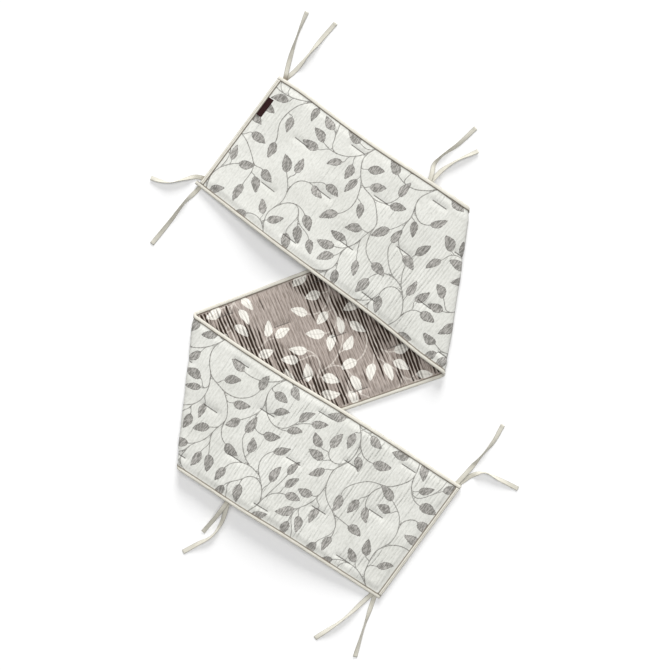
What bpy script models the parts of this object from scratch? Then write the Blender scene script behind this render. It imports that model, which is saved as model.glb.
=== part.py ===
# Quilted crib bumper, laid out on a floor in a Z: three panels of one padded strip, joined by
# two slanted rolled folds. White side up on the top and bottom panels, the taupe reverse side up
# on the middle one, which lies lowest. Taped edges, six tapes to tie it with, one sewn label.
# Metres, +Z up, floor at z = 0, origin under the middle of the whole thing.

import math

import bmesh
import bpy
import numpy as np
from mathutils import Vector
from mathutils.geometry import delaunay_2d_cdt

# ---------------------------------------------------------------- driving dimensions

STRIP_WIDTH = 0.300
PAD_THICKNESS = 0.0072
PAD_EDGE_THICKNESS = 0.0024
PAD_SHOULDER = 0.016        # how far in from the tape the pad reaches its full thickness
TAPE_MARGIN = 0.0005        # from a tape's inner edge to where the pad starts to rise
SHOULDER_SHARES = (0.1, 0.9)        # of the width: lines that hold the pad's full thickness
FOLD_RADIUS = 0.0095        # of the pad's middle layer, in both rolled folds
CLEARANCE = 0.0003          # between any two pieces

RIB_PITCH = 0.0075
RIB_HEIGHT = 0.0010
RIB_FADE = 0.012            # ribs die out over this length where a fold hides them
RIB_MARGIN = 0.0015         # from the rise along the long edges to a rib's end
RIB_END_MARGIN = 0.002      # from the rise at the strip's ends to the first rib
SHORTEST_STEP = 0.002       # between two points of one rib line

TACK_LENGTH = 0.036
TACK_DEPTH = 0.0016
TACK_SPREAD = 0.008
TACK_REACH = 0.018          # past this distance the pad is level again
TACK_FIRST = 0.130          # from the top end to the first column of tacks
TACK_PITCH = 0.110
TACK_ROWS_EVEN = (0.3, 0.7)         # shares of the width, in turn down the strip
TACK_ROWS_ODD = (0.1, 0.5, 0.9)

TAPE_WALL = 0.0012
TAPE_FACE = 0.0080          # width that a long edge's tape shows on each side
END_TAPE_FACE = 0.009
TAPE_TAB = 0.008            # the lower tape runs on past the top end
TAPE_STEP = 0.042           # between two sections of a tape, on the panels
END_TAPE_STEPS = 6          # sections of an end tape, less one

TIE_WIDTH = 0.0100
TIE_THICKNESS = 0.0008
TIE_STEPS = 15              # sections along each loose end
TIE_LIFT = 0.0001           # from the floor to a tie's lowest edge
TURN_REACH = 0.004          # from the two ends' roots back to the turn where a tie is doubled
TURN_STEPS = 4

LABEL_LENGTH = 0.046
LABEL_WIDTH = 0.0135
LABEL_THICKNESS = 0.0006
LABEL_FROM_END = 0.0096
LABEL_FROM_EDGE = 0.052
LABEL_STEPS_ALONG = 6
LABEL_STEPS_ACROSS = 4

# Corners of the outline as seen from above. a and d end the top panel, g and h the bottom one.
# The right fold runs from b to c, the left one from e to f.
CORNERS = {
    "a": (-0.1236, 0.5829),
    "b": (0.3049, 0.2865),
    "c": (0.2485, -0.0897),
    "d": (-0.3070, 0.3368),
    "e": (-0.3165, 0.0520),
    "f": (-0.3545, -0.2970),
    "g": (0.1000, -0.5916),
    "h": (0.2859, -0.3385),
}

# Each panel: where its first and its second long edge start and end.
PANELS = (
    {"name": "top", "first": ("a", "b"), "second": ("d", "c")},
    {"name": "middle", "first": ("b", "e"), "second": ("c", "f")},
    {"name": "bottom", "first": ("e", "h"), "second": ("f", "g")},
)

# Heights of the pad's middle layer over the floor, at shares of a panel's length.
FLAT = PAD_THICKNESS / 2
OVER = FLAT + 2 * FOLD_RADIUS
HEIGHTS = {
    "top": (
        {"share": 0.00, "first": 0.0060, "second": 0.0062},
        {"share": 0.10, "first": 0.0062, "second": 0.0135},
        {"share": 0.28, "first": 0.0070, "second": 0.0300},
        {"share": 0.50, "first": 0.0105, "second": 0.0310},
        {"share": 0.75, "first": 0.0175, "second": 0.0245},
        {"share": 0.93, "first": 0.0220, "second": OVER},
        {"share": 1.00, "first": OVER, "second": OVER},
    ),
    "middle": (
        {"share": 0.00, "first": FLAT, "second": FLAT},
        {"share": 1.00, "first": FLAT, "second": FLAT},
    ),
    "bottom": (
        {"share": 0.00, "first": OVER, "second": OVER},
        {"share": 0.07, "first": OVER, "second": 0.0230},
        {"share": 0.30, "first": 0.0180, "second": 0.0290},
        {"share": 0.52, "first": 0.0155, "second": 0.0285},
        {"share": 0.75, "first": 0.0090, "second": 0.0180},
        {"share": 0.92, "first": 0.0062, "second": 0.0085},
        {"share": 1.00, "first": 0.0060, "second": 0.0062},
    ),
}
# How far each long edge strays outwards, or below 0 inwards, from the straight line between its
# corners, at shares of a panel's length.
STRAYS = {
    "top": (
        {"share": 0.00, "first": 0.0000, "second": 0.0000},
        {"share": 0.10, "first": 0.0025, "second": 0.0006},
        {"share": 0.28, "first": -0.0009, "second": 0.0017},
        {"share": 0.50, "first": -0.0044, "second": -0.0004},
        {"share": 0.75, "first": -0.0020, "second": -0.0027},
        {"share": 0.93, "first": -0.0004, "second": 0.0013},
        {"share": 1.00, "first": 0.0000, "second": 0.0000},
    ),
    "middle": (
        {"share": 0.00, "first": 0.0000, "second": 0.0000},
        {"share": 1.00, "first": 0.0000, "second": 0.0000},
    ),
    "bottom": (
        {"share": 0.00, "first": 0.0000, "second": 0.0000},
        {"share": 0.07, "first": -0.0020, "second": 0.0000},
        {"share": 0.30, "first": -0.0045, "second": 0.0005},
        {"share": 0.52, "first": 0.0000, "second": -0.0020},
        {"share": 0.75, "first": 0.0012, "second": -0.0010},
        {"share": 0.92, "first": 0.0000, "second": 0.0000},
        {"share": 1.00, "first": 0.0000, "second": 0.0000},
    ),
}
PANEL_ROWS = 48
FOLD_ROWS = 30
FOLD_FACETS = 10
RUN_ON_STEP = 0.01          # back from an end of the strip, to find how the layer runs on past it
SAME_PLACE = 1e-5

# Loose ends of the ties, from the edge outwards. "over" is the upper end where the two start,
# "under" the lower one. Columns: x, y, height over the floor, roll in degrees.
TIES = (
    {
        "name": "tie_top_corner",
        "over": (
            (-0.1112, 0.5760, 0.0019, 0),
            (-0.1045, 0.6060, 0.0019, 0),
            (-0.0840, 0.6720, 0.0010, 70),
            (-0.0620, 0.7280, 0.0010, 20),
        ),
        "under": (
            (-0.1112, 0.5760, 0.0006, 0),
            (-0.0900, 0.5940, 0.0006, 0),
            (-0.0570, 0.6330, 0.0010, -60),
            (-0.0330, 0.6620, 0.0010, -15),
            (0.0030, 0.7030, 0.0006, 0),
        ),
    },
    {
        "name": "tie_left_corner",
        "over": (
            (-0.2880, 0.3520, 0.0019, 0),
            (-0.3110, 0.3570, 0.0019, 0),
            (-0.3360, 0.3520, 0.0010, 50),
            (-0.3720, 0.3440, 0.0010, 78),
            (-0.3930, 0.3480, 0.0010, 40),
            (-0.4130, 0.3545, 0.0008, 15),
        ),
        "under": (
            (-0.2880, 0.3520, 0.0006, 0),
            (-0.3100, 0.3260, 0.0006, 0),
            (-0.3360, 0.3000, 0.0006, -55),
            (-0.3660, 0.2610, 0.0010, -35),
            (-0.4110, 0.2060, 0.0006, 0),
        ),
    },
    {
        "name": "tie_upper_edge",
        "over": (
            (0.2095, 0.3375, 0.0146, 0),
            (0.2180, 0.3600, 0.0146, 0),
            (0.2230, 0.3830, 0.0085, 25),
            (0.2400, 0.4020, 0.0015, 60),
            (0.2760, 0.4280, 0.0010, 30),
            (0.3180, 0.4670, 0.0006, 0),
        ),
        "under": (
            (0.2095, 0.3375, 0.0132, 0),
            (0.2230, 0.3520, 0.0126, 0),
            (0.2400, 0.3700, 0.0065, -20),
            (0.2690, 0.3900, 0.0010, -60),
            (0.3230, 0.4150, 0.0008, -20),
        ),
    },
    {
        "name": "tie_right_corner",
        "over": (
            (0.2610, -0.3475, 0.0019, 0),
            (0.2880, -0.3190, 0.0026, 0),
            (0.3060, -0.2990, 0.0028, 0),
            (0.3290, -0.2730, 0.0010, 60),
            (0.3590, -0.2370, 0.0010, 25),
            (0.3790, -0.2010, 0.0006, 0),
        ),
        "under": (
            (0.2610, -0.3475, 0.0006, 0),
            (0.2870, -0.3290, 0.0006, 0),
            (0.3090, -0.3150, 0.0006, 0),
            (0.3340, -0.3080, 0.0010, -75),
            (0.3700, -0.3230, 0.0010, -40),
            (0.4130, -0.3450, 0.0006, 0),
        ),
    },
    {
        "name": "tie_bottom_corner",
        "over": (
            (0.0950, -0.5720, 0.0019, 0),
            (0.0740, -0.5900, 0.0019, 0),
            (0.0190, -0.6380, 0.0010, 65),
            (-0.0440, -0.6810, 0.0006, 0),
        ),
        "under": (
            (0.0950, -0.5720, 0.0006, 0),
            (0.0850, -0.6010, 0.0006, 0),
            (0.0690, -0.6480, 0.0006, -60),
            (0.0460, -0.7230, 0.0006, -10),
        ),
    },
    {
        "name": "tie_lower_edge",
        "over": (
            (-0.2350, -0.3645, 0.0230, 0),
            (-0.2450, -0.3800, 0.0230, 0),
            (-0.2620, -0.4020, 0.0150, -20),
            (-0.2960, -0.4420, 0.0010, -20),
        ),
        "under": (
            (-0.2350, -0.3645, 0.0216, 0),
            (-0.2410, -0.3830, 0.0200, 0),
            (-0.2560, -0.4240, 0.0050, 40),
            (-0.2760, -0.4510, 0.0010, 65),
            (-0.3070, -0.4680, 0.0010, 30),
            (-0.3410, -0.4870, 0.0006, 0),
        ),
    },
)

COLOURS = {
    "cloth": (0.80, 0.80, 0.76),
    "tape": (0.74, 0.69, 0.60),
    "label": (0.055, 0.012, 0.014),
}
ROUGHNESS = 0.9
SHARP_EDGE = 22             # degrees

# Middle of the whole thing's box, ties too, in the corners' own coordinates: it becomes the origin.
MIDDLE = (0.00023, 0.00273)

# ---------------------------------------------------------------- small helpers


def clear_scene():
    for thing in list(bpy.data.objects):
        bpy.data.objects.remove(thing, do_unlink=True)


def material(name):
    made = bpy.data.materials.new(name)
    made.use_nodes = True
    shader = made.node_tree.nodes["Principled BSDF"]
    shader.inputs["Base Color"].default_value = (*COLOURS[name], 1.0)
    shader.inputs["Roughness"].default_value = ROUGHNESS
    shader.inputs["Metallic"].default_value = 0.0
    return made


def add_piece(name, points, faces, look):
    mesh = bpy.data.meshes.new(name)
    centred = np.array(points, float) - np.array([*MIDDLE, 0.0])
    mesh.from_pydata(centred.tolist(), [], faces)
    mesh.validate()
    work = bmesh.new()
    work.from_mesh(mesh)
    bmesh.ops.recalc_face_normals(work, faces=work.faces)
    work.to_mesh(mesh)
    work.free()
    mesh.shade_smooth()
    mesh.set_sharp_from_angle(angle=math.radians(SHARP_EDGE))
    piece = bpy.data.objects.new(name, mesh)
    piece.data.materials.append(look)
    bpy.context.collection.objects.link(piece)
    return piece


def smooth_step(value):
    value = np.clip(value, 0.0, 1.0)
    return value * value * (3.0 - 2.0 * value)


def unit(vector):
    return vector / np.linalg.norm(vector)


def smooth_curve(knots, values, at):
    """A curve through every knot, its slope at a knot the mean slope of its neighbours."""
    knots = np.asarray(knots, float)
    values = np.asarray(values, float)
    slopes = np.gradient(values, knots, axis=0)
    place = np.clip(np.searchsorted(knots, at) - 1, 0, len(knots) - 2)
    width = knots[place + 1] - knots[place]
    u = (at - knots[place]) / width
    if values.ndim > 1:
        u = u[:, None]
        width = width[:, None]
    start = (1 + 2 * u) * (1 - u) ** 2 * values[place] + u * (1 - u) ** 2 * width * slopes[place]
    end = u * u * (3 - 2 * u) * values[place + 1] + u * u * (u - 1) * width * slopes[place + 1]
    return start + end


def table_curve(table, panel, edge, share):
    rows = table[panel["name"]]
    return smooth_curve([row["share"] for row in rows], [row[edge] for row in rows], share)


def outward(starts, ends, edge):
    """Level and square to an edge, away from the panel."""
    other = "second" if edge == "first" else "first"
    heading = unit(ends[edge] - starts[edge])
    side = np.array([-heading[1], heading[0], 0.0])
    return side * np.sign(side @ (starts[edge] - starts[other]))


# ---------------------------------------------------------------- the folded middle layer


class Strip:
    """The pad's middle layer. A row is a straight line across it, from long edge to long edge.

    row: place along the strip, a fractional row number
    s, t: place on the strip laid flat, along it and across it
    h: height over the middle layer, towards the white side
    """

    def __init__(self):
        first, second, normals = [], [], []
        self.fold_spans = []
        corner = {name: np.array([x, y, 0.0]) for name, (x, y) in CORNERS.items()}
        starts = {edge: corner[PANELS[0][edge][0]] for edge in ("first", "second")}
        for number, panel in enumerate(PANELS):
            white_up = 1.0 if number % 2 == 0 else -1.0
            last = number == len(PANELS) - 1
            ends = {edge: corner[panel[edge][1]] for edge in ("first", "second")}
            if not last:
                fold = self.fold_at(panel, corner, white_up)
                ends = fold["starts"]
            share = np.linspace(0.0, 1.0, PANEL_ROWS + 1)
            lines = {}
            for edge in ("first", "second"):
                line = starts[edge] + share[:, None] * (ends[edge] - starts[edge])
                line += table_curve(STRAYS, panel, edge, share)[:, None] * outward(starts, ends, edge)
                line[:, 2] = table_curve(HEIGHTS, panel, edge, share)
                lines[edge] = line
            along = np.gradient((lines["first"] + lines["second"]) / 2, axis=0)
            across = lines["second"] - lines["first"]
            up = np.cross(across, along)
            up *= white_up * np.sign(up[:, 2:]) / np.linalg.norm(up, axis=1)[:, None]
            stop = None if last else -1
            first.extend(lines["first"][:stop])
            second.extend(lines["second"][:stop])
            normals.extend(up[:stop])
            if last:
                continue
            begin = len(first)
            for theta in np.linspace(0.0, math.pi, FOLD_ROWS + 1):
                lean = fold["out"] * math.sin(theta)
                lean[2] = white_up * math.cos(theta)
                for edge, held in (("first", first), ("second", second)):
                    axis = fold["starts"][edge] + fold["line"] * fold["drift"][edge] * theta / math.pi
                    axis[2] = FLAT + FOLD_RADIUS
                    held.append(axis + FOLD_RADIUS * lean)
                normals.append(lean)
            self.fold_spans.append((begin, begin + FOLD_ROWS))
            starts = {}
            for edge in ("first", "second"):
                starts[edge] = fold["starts"][edge] + fold["line"] * fold["drift"][edge]
            for held in (first, second, normals):
                held.pop()
        self.first = np.array(first)
        self.second = np.array(second)
        self.normals = np.array(normals)
        self.last_row = len(first) - 1
        steps_first = np.linalg.norm(np.diff(self.first, axis=0), axis=1)
        steps_second = np.linalg.norm(np.diff(self.second, axis=0), axis=1)
        self.length = (steps_first.sum() + steps_second.sum()) / 2
        self.s_first = np.concatenate([[0.0], np.cumsum(steps_first)]) * self.length / steps_first.sum()
        self.s_second = np.concatenate([[0.0], np.cumsum(steps_second)]) * self.length / steps_second.sum()

    @staticmethod
    def fold_at(panel, corner, white_up):
        """Where a panel's two edges reach the fold's axis, and how far they drift along it."""
        ends = {edge: corner[panel[edge][1]] for edge in ("first", "second")}
        line = unit(ends["second"] - ends["first"])
        out = np.array([-line[1], line[0], 0.0]) * white_up
        starts, drift = {}, {}
        for edge in ("first", "second"):
            heading = unit(ends[edge] - corner[panel[edge][0]])
            reach = heading @ out
            starts[edge] = ends[edge] - heading * (FOLD_RADIUS + PAD_THICKNESS / 2) / reach
            drift[edge] = math.pi * FOLD_RADIUS * (heading @ line) / reach
        return {"starts": starts, "drift": drift, "line": line, "out": out}

    def s_at(self, row, t):
        v = t / STRIP_WIDTH
        rows = np.arange(self.last_row + 1)
        return (1 - v) * np.interp(row, rows, self.s_first) + v * np.interp(row, rows, self.s_second)

    def row_at(self, s, t):
        v = t / STRIP_WIDTH
        along = (1 - v) * self.s_first + v * self.s_second
        return float(np.interp(s, along, np.arange(self.last_row + 1)))

    def point(self, row, t, h):
        low = min(int(row), self.last_row - 1)
        part = row - low
        v = t / STRIP_WIDTH
        first = self.first[low] * (1 - part) + self.first[low + 1] * part
        second = self.second[low] * (1 - part) + self.second[low + 1] * part
        normal = unit(self.normals[low] * (1 - part) + self.normals[low + 1] * part)
        return first * (1 - v) + second * v + normal * h

    def point_st(self, s, t, h):
        """Past the strip's two ends the layer runs straight on."""
        inside = min(max(s, 0.0), self.length)
        place = self.point(self.row_at(inside, t), t, h)
        if s == inside:
            return place
        step = RUN_ON_STEP if s < 0 else -RUN_ON_STEP
        back = self.point(self.row_at(inside + step, t), t, h)
        return place + (place - back) * abs(s - inside) / abs(step)


# ---------------------------------------------------------------- the quilted pad


class Pad:
    """Half-thickness of the filled pad, its ribs and its tacks, over the flat strip."""

    def __init__(self, strip):
        self.strip = strip
        self.inset = TAPE_WALL + CLEARANCE
        self.edge_line = TAPE_FACE + TAPE_MARGIN
        self.end_line = END_TAPE_FACE + TAPE_MARGIN
        self.rib_low = self.edge_line + RIB_MARGIN
        self.rib_first = self.end_line + RIB_END_MARGIN
        self.tacks = []
        columns = int((strip.length - TACK_FIRST) / TACK_PITCH) + 1
        for column in range(columns):
            for share in TACK_ROWS_EVEN if column % 2 == 0 else TACK_ROWS_ODD:
                self.tacks.append((TACK_FIRST + column * TACK_PITCH, share * STRIP_WIDTH))

    def shoulder(self, s, t):
        from_edge = min(t, STRIP_WIDTH - t) - self.edge_line
        from_end = min(s, self.strip.length - s) - self.end_line
        return smooth_step(from_edge / PAD_SHOULDER) * smooth_step(from_end / PAD_SHOULDER)

    def dimple(self, s, t):
        depth = 0.0
        for tack_s, tack_t in self.tacks:
            along = max(abs(s - tack_s) - TACK_LENGTH / 2, 0.0)
            distance = math.hypot(along, t - tack_t)
            if distance < TACK_REACH:
                depth = max(depth, TACK_DEPTH * math.exp(-((distance / TACK_SPREAD) ** 2)))
        return depth

    def half(self, s, t):
        """Half-thickness without ribs and tacks."""
        edge = PAD_EDGE_THICKNESS / 2
        return edge + (PAD_THICKNESS / 2 - edge) * self.shoulder(s, t)


def rib_spans(strip, side):
    """Rows between which a side's ribs show: the white side's on the outer panels, else the middle."""
    right, left = strip.fold_spans
    if side > 0:
        return ((0, right[1]), (left[0], strip.last_row))
    return ((right[1], left[0]),)


def rib_fade(strip, spans, row):
    """0 where a side's ribs are hidden, 1 where they show, with a soft change between."""
    share = 0.0
    for start, end in spans:
        if not start <= row <= end:
            continue
        here = strip.s_at(row, STRIP_WIDTH / 2)
        from_start = here - strip.s_at(start, STRIP_WIDTH / 2) if start > 0 else RIB_FADE
        to_end = strip.s_at(end, STRIP_WIDTH / 2) - here if end < strip.last_row else RIB_FADE
        share = max(share, float(smooth_step(min(from_start, to_end) / RIB_FADE)))
    return share


def rib_reach(strip, span, s, low, high):
    """The part of a cross line, from low to high, that lies between a span's two rows."""
    limits = [low, high]
    for row, keep_after in ((span[0], True), (span[1], False)):
        s_low = float(strip.s_at(row, low))
        s_high = float(strip.s_at(row, high))
        if s_high - s_low < RIB_PITCH:
            if (s < s_low) == keep_after:
                return None
            continue
        crossing = low + (high - low) * (s - s_low) / (s_high - s_low)
        if keep_after:
            limits[1] = min(limits[1], crossing)
        else:
            limits[0] = max(limits[0], crossing)
    return limits if limits[1] - limits[0] > RIB_PITCH else None


def stations(strip):
    """Rows at which the tapes and the pad's rim have their points."""
    rows = [0.0]
    bounds = [0]
    for span in strip.fold_spans:
        bounds.extend(span)
    bounds.append(strip.last_row)
    for number, (start, end) in enumerate(zip(bounds[:-1], bounds[1:])):
        if number % 2 == 0:
            long = float(strip.s_at(end, STRIP_WIDTH / 2) - strip.s_at(start, STRIP_WIDTH / 2))
            count = max(2, round(long / TAPE_STEP))
        else:
            count = FOLD_FACETS
        rows.extend(start + (end - start) * k / count for k in range(1, count + 1))
    return rows


class FlatFace:
    """Points and lines of one side of the pad on the strip laid flat, before it is cut in triangles."""

    def __init__(self, strip, pad, side):
        self.strip = strip
        self.pad = pad
        self.side = side
        self.points = []
        self.edges = []

    def add_line(self, line):
        begin = len(self.points)
        self.points.extend((float(s), float(t)) for s, t in line)
        self.edges.extend((mark, mark + 1) for mark in range(begin, len(self.points) - 1))

    def add_row(self, row, places):
        self.add_line([(self.strip.s_at(row, t), t) for t in places])

    def add_long_rims(self, rim_rows):
        strip, pad = self.strip, self.pad
        start, end = pad.inset, strip.length - pad.inset
        for t, inner_t in (
            (pad.inset, pad.edge_line),
            (STRIP_WIDTH - pad.inset, STRIP_WIDTH - pad.edge_line),
        ):
            outer, inner = [(start, t)], [(start, inner_t)]
            for row in rim_rows[1:-1]:
                outer.append((strip.s_at(row, t), t))
                inner.append((strip.s_at(row, inner_t), inner_t))
            outer.append((end, t))
            inner.append((end, inner_t))
            self.add_line(outer)
            self.add_line(inner)
            for place, inner_place in zip(outer[1:-1], inner[1:-1]):
                self.add_line((place, inner_place))

    def add_end_rims(self, cross_stations):
        length, pad = self.strip.length, self.pad
        low, high = pad.inset, STRIP_WIDTH - pad.inset
        for s, inner_s in ((pad.inset, pad.end_line), (length - pad.inset, length - pad.end_line)):
            self.add_line([(s, low)] + [(s, t) for t in cross_stations] + [(s, high)])
            self.add_line([(inner_s, t) for t in cross_stations])
            for t in cross_stations:
                self.add_line(((s, t), (inner_s, t)))

    def add_shoulders(self, rim_rows):
        """Lines that keep the pad full between the ribs' points, or where a side has no ribs."""
        places = [share * STRIP_WIDTH for share in SHOULDER_SHARES]
        near_start = self.pad.end_line + PAD_SHOULDER
        near_end = self.strip.length - near_start
        for t in places:
            along = [self.strip.s_at(row, t) for row in rim_rows[1:-1]]
            along = [near_start] + [s for s in along if near_start < s < near_end] + [near_end]
            self.add_line([(s, t) for s in along])
        if self.side < 0:
            for s in (near_start, near_end):
                self.add_line([(s, t) for t in places])

    def add_folds(self, rows_across):
        places = (self.pad.edge_line, *rows_across, STRIP_WIDTH - self.pad.edge_line)
        for start, end in self.strip.fold_spans:
            for k in range(FOLD_FACETS + 1):
                self.add_row(start + (end - start) * k / FOLD_FACETS, places)

    def add_ribs(self, spans, rows_across):
        """A line on each peak and each valley, with points round the tacks that it passes."""
        pad = self.pad
        low, high = rows_across[0], rows_across[-1]
        half_ribs = int((self.strip.length - 2 * pad.rib_first) / (RIB_PITCH / 2))
        for number in range(half_ribs + 1):
            s = pad.rib_first + number * RIB_PITCH / 2
            near = [tack_t for tack_s, tack_t in pad.tacks if abs(s - tack_s) <= TACK_LENGTH / 2]
            round_tacks = [t + away for t in near for away in (-TACK_REACH, 0.0, TACK_REACH)]
            places = sorted({*rows_across, *round_tacks})
            for span in spans:
                reach = rib_reach(self.strip, span, s, low, high)
                if reach is None:
                    continue
                first, last = reach
                inside = [t for t in places if first + SHORTEST_STEP < t < last - SHORTEST_STEP]
                self.add_line([(s, t) for t in (first, *inside, last)])


def pad_face(strip, pad, side, rim_rows, cross_stations):
    """One side's points on the flat strip and in space, and its triangles."""
    spans = rib_spans(strip, side)
    shoulders = [share * STRIP_WIDTH for share in SHOULDER_SHARES]
    rows_across = (pad.rib_low, shoulders[0], STRIP_WIDTH / 2, shoulders[1], STRIP_WIDTH - pad.rib_low)
    face = FlatFace(strip, pad, side)
    face.add_long_rims(rim_rows)
    face.add_end_rims(cross_stations)
    face.add_shoulders(rim_rows)
    face.add_folds(rows_across)
    face.add_ribs(spans, rows_across)
    cut = delaunay_2d_cdt([Vector(place) for place in face.points], face.edges, [], 0, 1e-6, False)
    flat = [tuple(place) for place in cut[0]]
    placed = []
    for s, t in flat:
        row = strip.row_at(s, t)
        half = float(pad.half(s, t))
        under_flat = side > 0 and strip.fold_spans[0][1] <= row <= strip.fold_spans[1][0]
        if not under_flat:
            rib_number = (s - pad.rib_first) / (RIB_PITCH / 2)
            wave = 1.0 - abs((rib_number % 2.0) - 1.0) * 2.0
            rise = RIB_HEIGHT / 2 * wave * rib_fade(strip, spans, row) - pad.dimple(s, t)
            half += rise * float(pad.shoulder(s, t))
        placed.append(strip.point(row, t, side * half))
    return flat, placed, cut[2]


def build_pad(strip, look):
    pad = Pad(strip)
    rim_rows = stations(strip)
    cross = cross_marks()
    points, faces, rims = [], [], []
    for side in (1.0, -1.0):
        flat, placed, triangles = pad_face(strip, pad, side, rim_rows, cross)
        base = len(points)
        points.extend(placed)
        faces.extend([base + corner for corner in triangle] for triangle in triangles)
        rims.append(rim_loop(flat, strip, pad, base))
    upper, lower = rims
    for number in range(len(upper)):
        after = (number + 1) % len(upper)
        faces.append([upper[number], upper[after], lower[after], lower[number]])
    return add_piece("quilted_pad", points, faces, look), pad, rim_rows


def rim_loop(flat, strip, pad, base):
    """Marks of the points on the rim, in order round it."""
    low, high = pad.inset, STRIP_WIDTH - pad.inset
    start, end = pad.inset, strip.length - pad.inset
    sides = {"first": [], "far_end": [], "second": [], "near_end": []}
    for mark, (s, t) in enumerate(flat):
        between = low + SAME_PLACE < t < high - SAME_PLACE
        if abs(t - low) < SAME_PLACE:
            sides["first"].append((s, mark))
        elif abs(t - high) < SAME_PLACE:
            sides["second"].append((-s, mark))
        elif between and abs(s - end) < SAME_PLACE:
            sides["far_end"].append((t, mark))
        elif between and abs(s - start) < SAME_PLACE:
            sides["near_end"].append((-t, mark))
    return [base + mark for side in sides.values() for _, mark in sorted(side)]


# ---------------------------------------------------------------- tapes along the edges


def tape_section(face, wall, slot_half):
    """A folded tape cut across: distance in from the edge, and height over the middle layer."""
    outer = slot_half + wall
    chamfer = wall
    return (
        (face, outer), (chamfer, outer), (0.0, outer - chamfer), (0.0, chamfer - outer),
        (chamfer, -outer), (face, -outer), (face, -slot_half), (wall, -slot_half),
        (wall, slot_half), (face, slot_half),
    )


def sweep_sections(name, rings, look):
    points = [place for ring in rings for place in ring]
    size = len(rings[0])
    faces = []
    for number in range(len(rings) - 1):
        for corner in range(size):
            after = (corner + 1) % size
            here, there = number * size, (number + 1) * size
            faces.append([here + corner, here + after, there + after, there + corner])
    last = (len(rings) - 1) * size
    faces.append(list(range(size)))
    faces.append([last + corner for corner in range(size)])
    return add_piece(name, points, faces, look)


def cross_marks():
    """Places across the strip at which an end tape and the pad's end have their points."""
    inner = TAPE_FACE + CLEARANCE
    step = (STRIP_WIDTH - 2 * inner) / END_TAPE_STEPS
    return [inner + step * k for k in range(END_TAPE_STEPS + 1)]


def build_tapes(strip, rim_rows, look):
    slot_half = PAD_EDGE_THICKNESS / 2 + CLEARANCE
    section = tape_section(TAPE_FACE, TAPE_WALL, slot_half)
    for name, edge, inwards, tab in (
        ("tape_upper_edge", 0.0, 1.0, 0.0),
        ("tape_lower_edge", STRIP_WIDTH, -1.0, TAPE_TAB),
    ):
        places = [(edge + inwards * distance, h) for distance, h in section]
        rings = []
        if tab:
            rings.append([strip.point_st(-tab, t, h) for t, h in places])
        for row in rim_rows:
            rings.append([strip.point(row, t, h) for t, h in places])
        sweep_sections(name, rings, look)
    section = tape_section(END_TAPE_FACE, TAPE_WALL, slot_half)
    for name, at_start in (("tape_top_end", True), ("tape_bottom_end", False)):
        rings = []
        for t in cross_marks():
            ring = []
            for inward, h in section:
                s = inward if at_start else strip.length - inward
                ring.append(strip.point_st(s, t, h))
            rings.append(ring)
        sweep_sections(name, rings, look)


# ---------------------------------------------------------------- ties and label


def loose_end(route):
    """Evenly spaced places and rolls along one loose end of a tie."""
    knots = np.array([row[:3] for row in route])
    rolls = np.radians([row[3] for row in route])
    along = np.concatenate([[0.0], np.cumsum(np.linalg.norm(np.diff(knots, axis=0), axis=1))])
    at = np.linspace(0.0, along[-1], TIE_STEPS + 1)
    places = smooth_curve(along, knots, at)
    rolls = smooth_curve(along, rolls, at)
    lowest = abs(np.sin(rolls)) * TIE_WIDTH / 2 + abs(np.cos(rolls)) * TIE_THICKNESS / 2 + TIE_LIFT
    places[:, 2] = np.maximum(places[:, 2], lowest)
    return places, rolls


def flat_ring(place, outward, roll):
    """Four corners of a tape's cut, square to the way it runs."""
    level = unit(np.cross([0.0, 0.0, 1.0], outward))
    upright = unit(np.cross(outward, level))
    side = level * math.cos(roll) + upright * math.sin(roll)
    top = unit(np.cross(outward, side))
    side = side * TIE_WIDTH / 2
    top = top * TIE_THICKNESS / 2
    return [place + side + top, place - side + top, place - side - top, place + side - top]


def sweep_flat(name, rings, look):
    """A thin tape from its four-cornered cuts. Both faces are halved the same way, or a twisted tape's
    faces would pass through each other."""
    faces = []
    for here in range(0, 4 * (len(rings) - 1), 4):
        there = here + 4
        for near, far in ((0, 1), (3, 2)):
            faces.append([here + near, here + far, there + far])
            faces.append([here + near, there + far, there + near])
        for near, far in ((1, 2), (3, 0)):
            faces.append([here + near, here + far, there + far, there + near])
    last = 4 * (len(rings) - 1)
    faces.append([0, 1, 2, 3])
    faces.append([last, last + 1, last + 2, last + 3])
    return add_piece(name, [place for ring in rings for place in ring], faces, look)


def build_tie(tie, look):
    over, over_rolls = loose_end(tie["over"])
    under, under_rolls = loose_end(tie["under"])
    rings = []
    headings = unit_rows(np.gradient(over, axis=0))
    for number in range(len(over) - 1, -1, -1):
        rings.append(flat_ring(over[number], headings[number], over_rolls[number]))
    under_headings = unit_rows(np.gradient(under, axis=0))
    turn_heading = unit((headings[0] + under_headings[0]) * np.array([1.0, 1.0, 0.0]))
    level = np.cross([0.0, 0.0, 1.0], turn_heading)
    middle = (over[0] + under[0]) / 2
    gap = (over[0][2] - under[0][2]) / 2
    side = level * TIE_WIDTH / 2
    for theta in np.linspace(0.0, math.pi, TURN_STEPS + 1):
        lean = np.array([0.0, 0.0, math.cos(theta)]) - turn_heading * math.sin(theta)
        place = middle - turn_heading * TURN_REACH + gap * lean
        top = lean * TIE_THICKNESS / 2
        rings.append([place + side + top, place - side + top, place - side - top, place + side - top])
    for number in range(len(under)):
        ring = flat_ring(under[number], under_headings[number], under_rolls[number])
        rings.append([ring[3], ring[2], ring[1], ring[0]])
    return sweep_flat(tie["name"], rings, look)


def unit_rows(rows):
    return rows / np.linalg.norm(rows, axis=1)[:, None]


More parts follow.
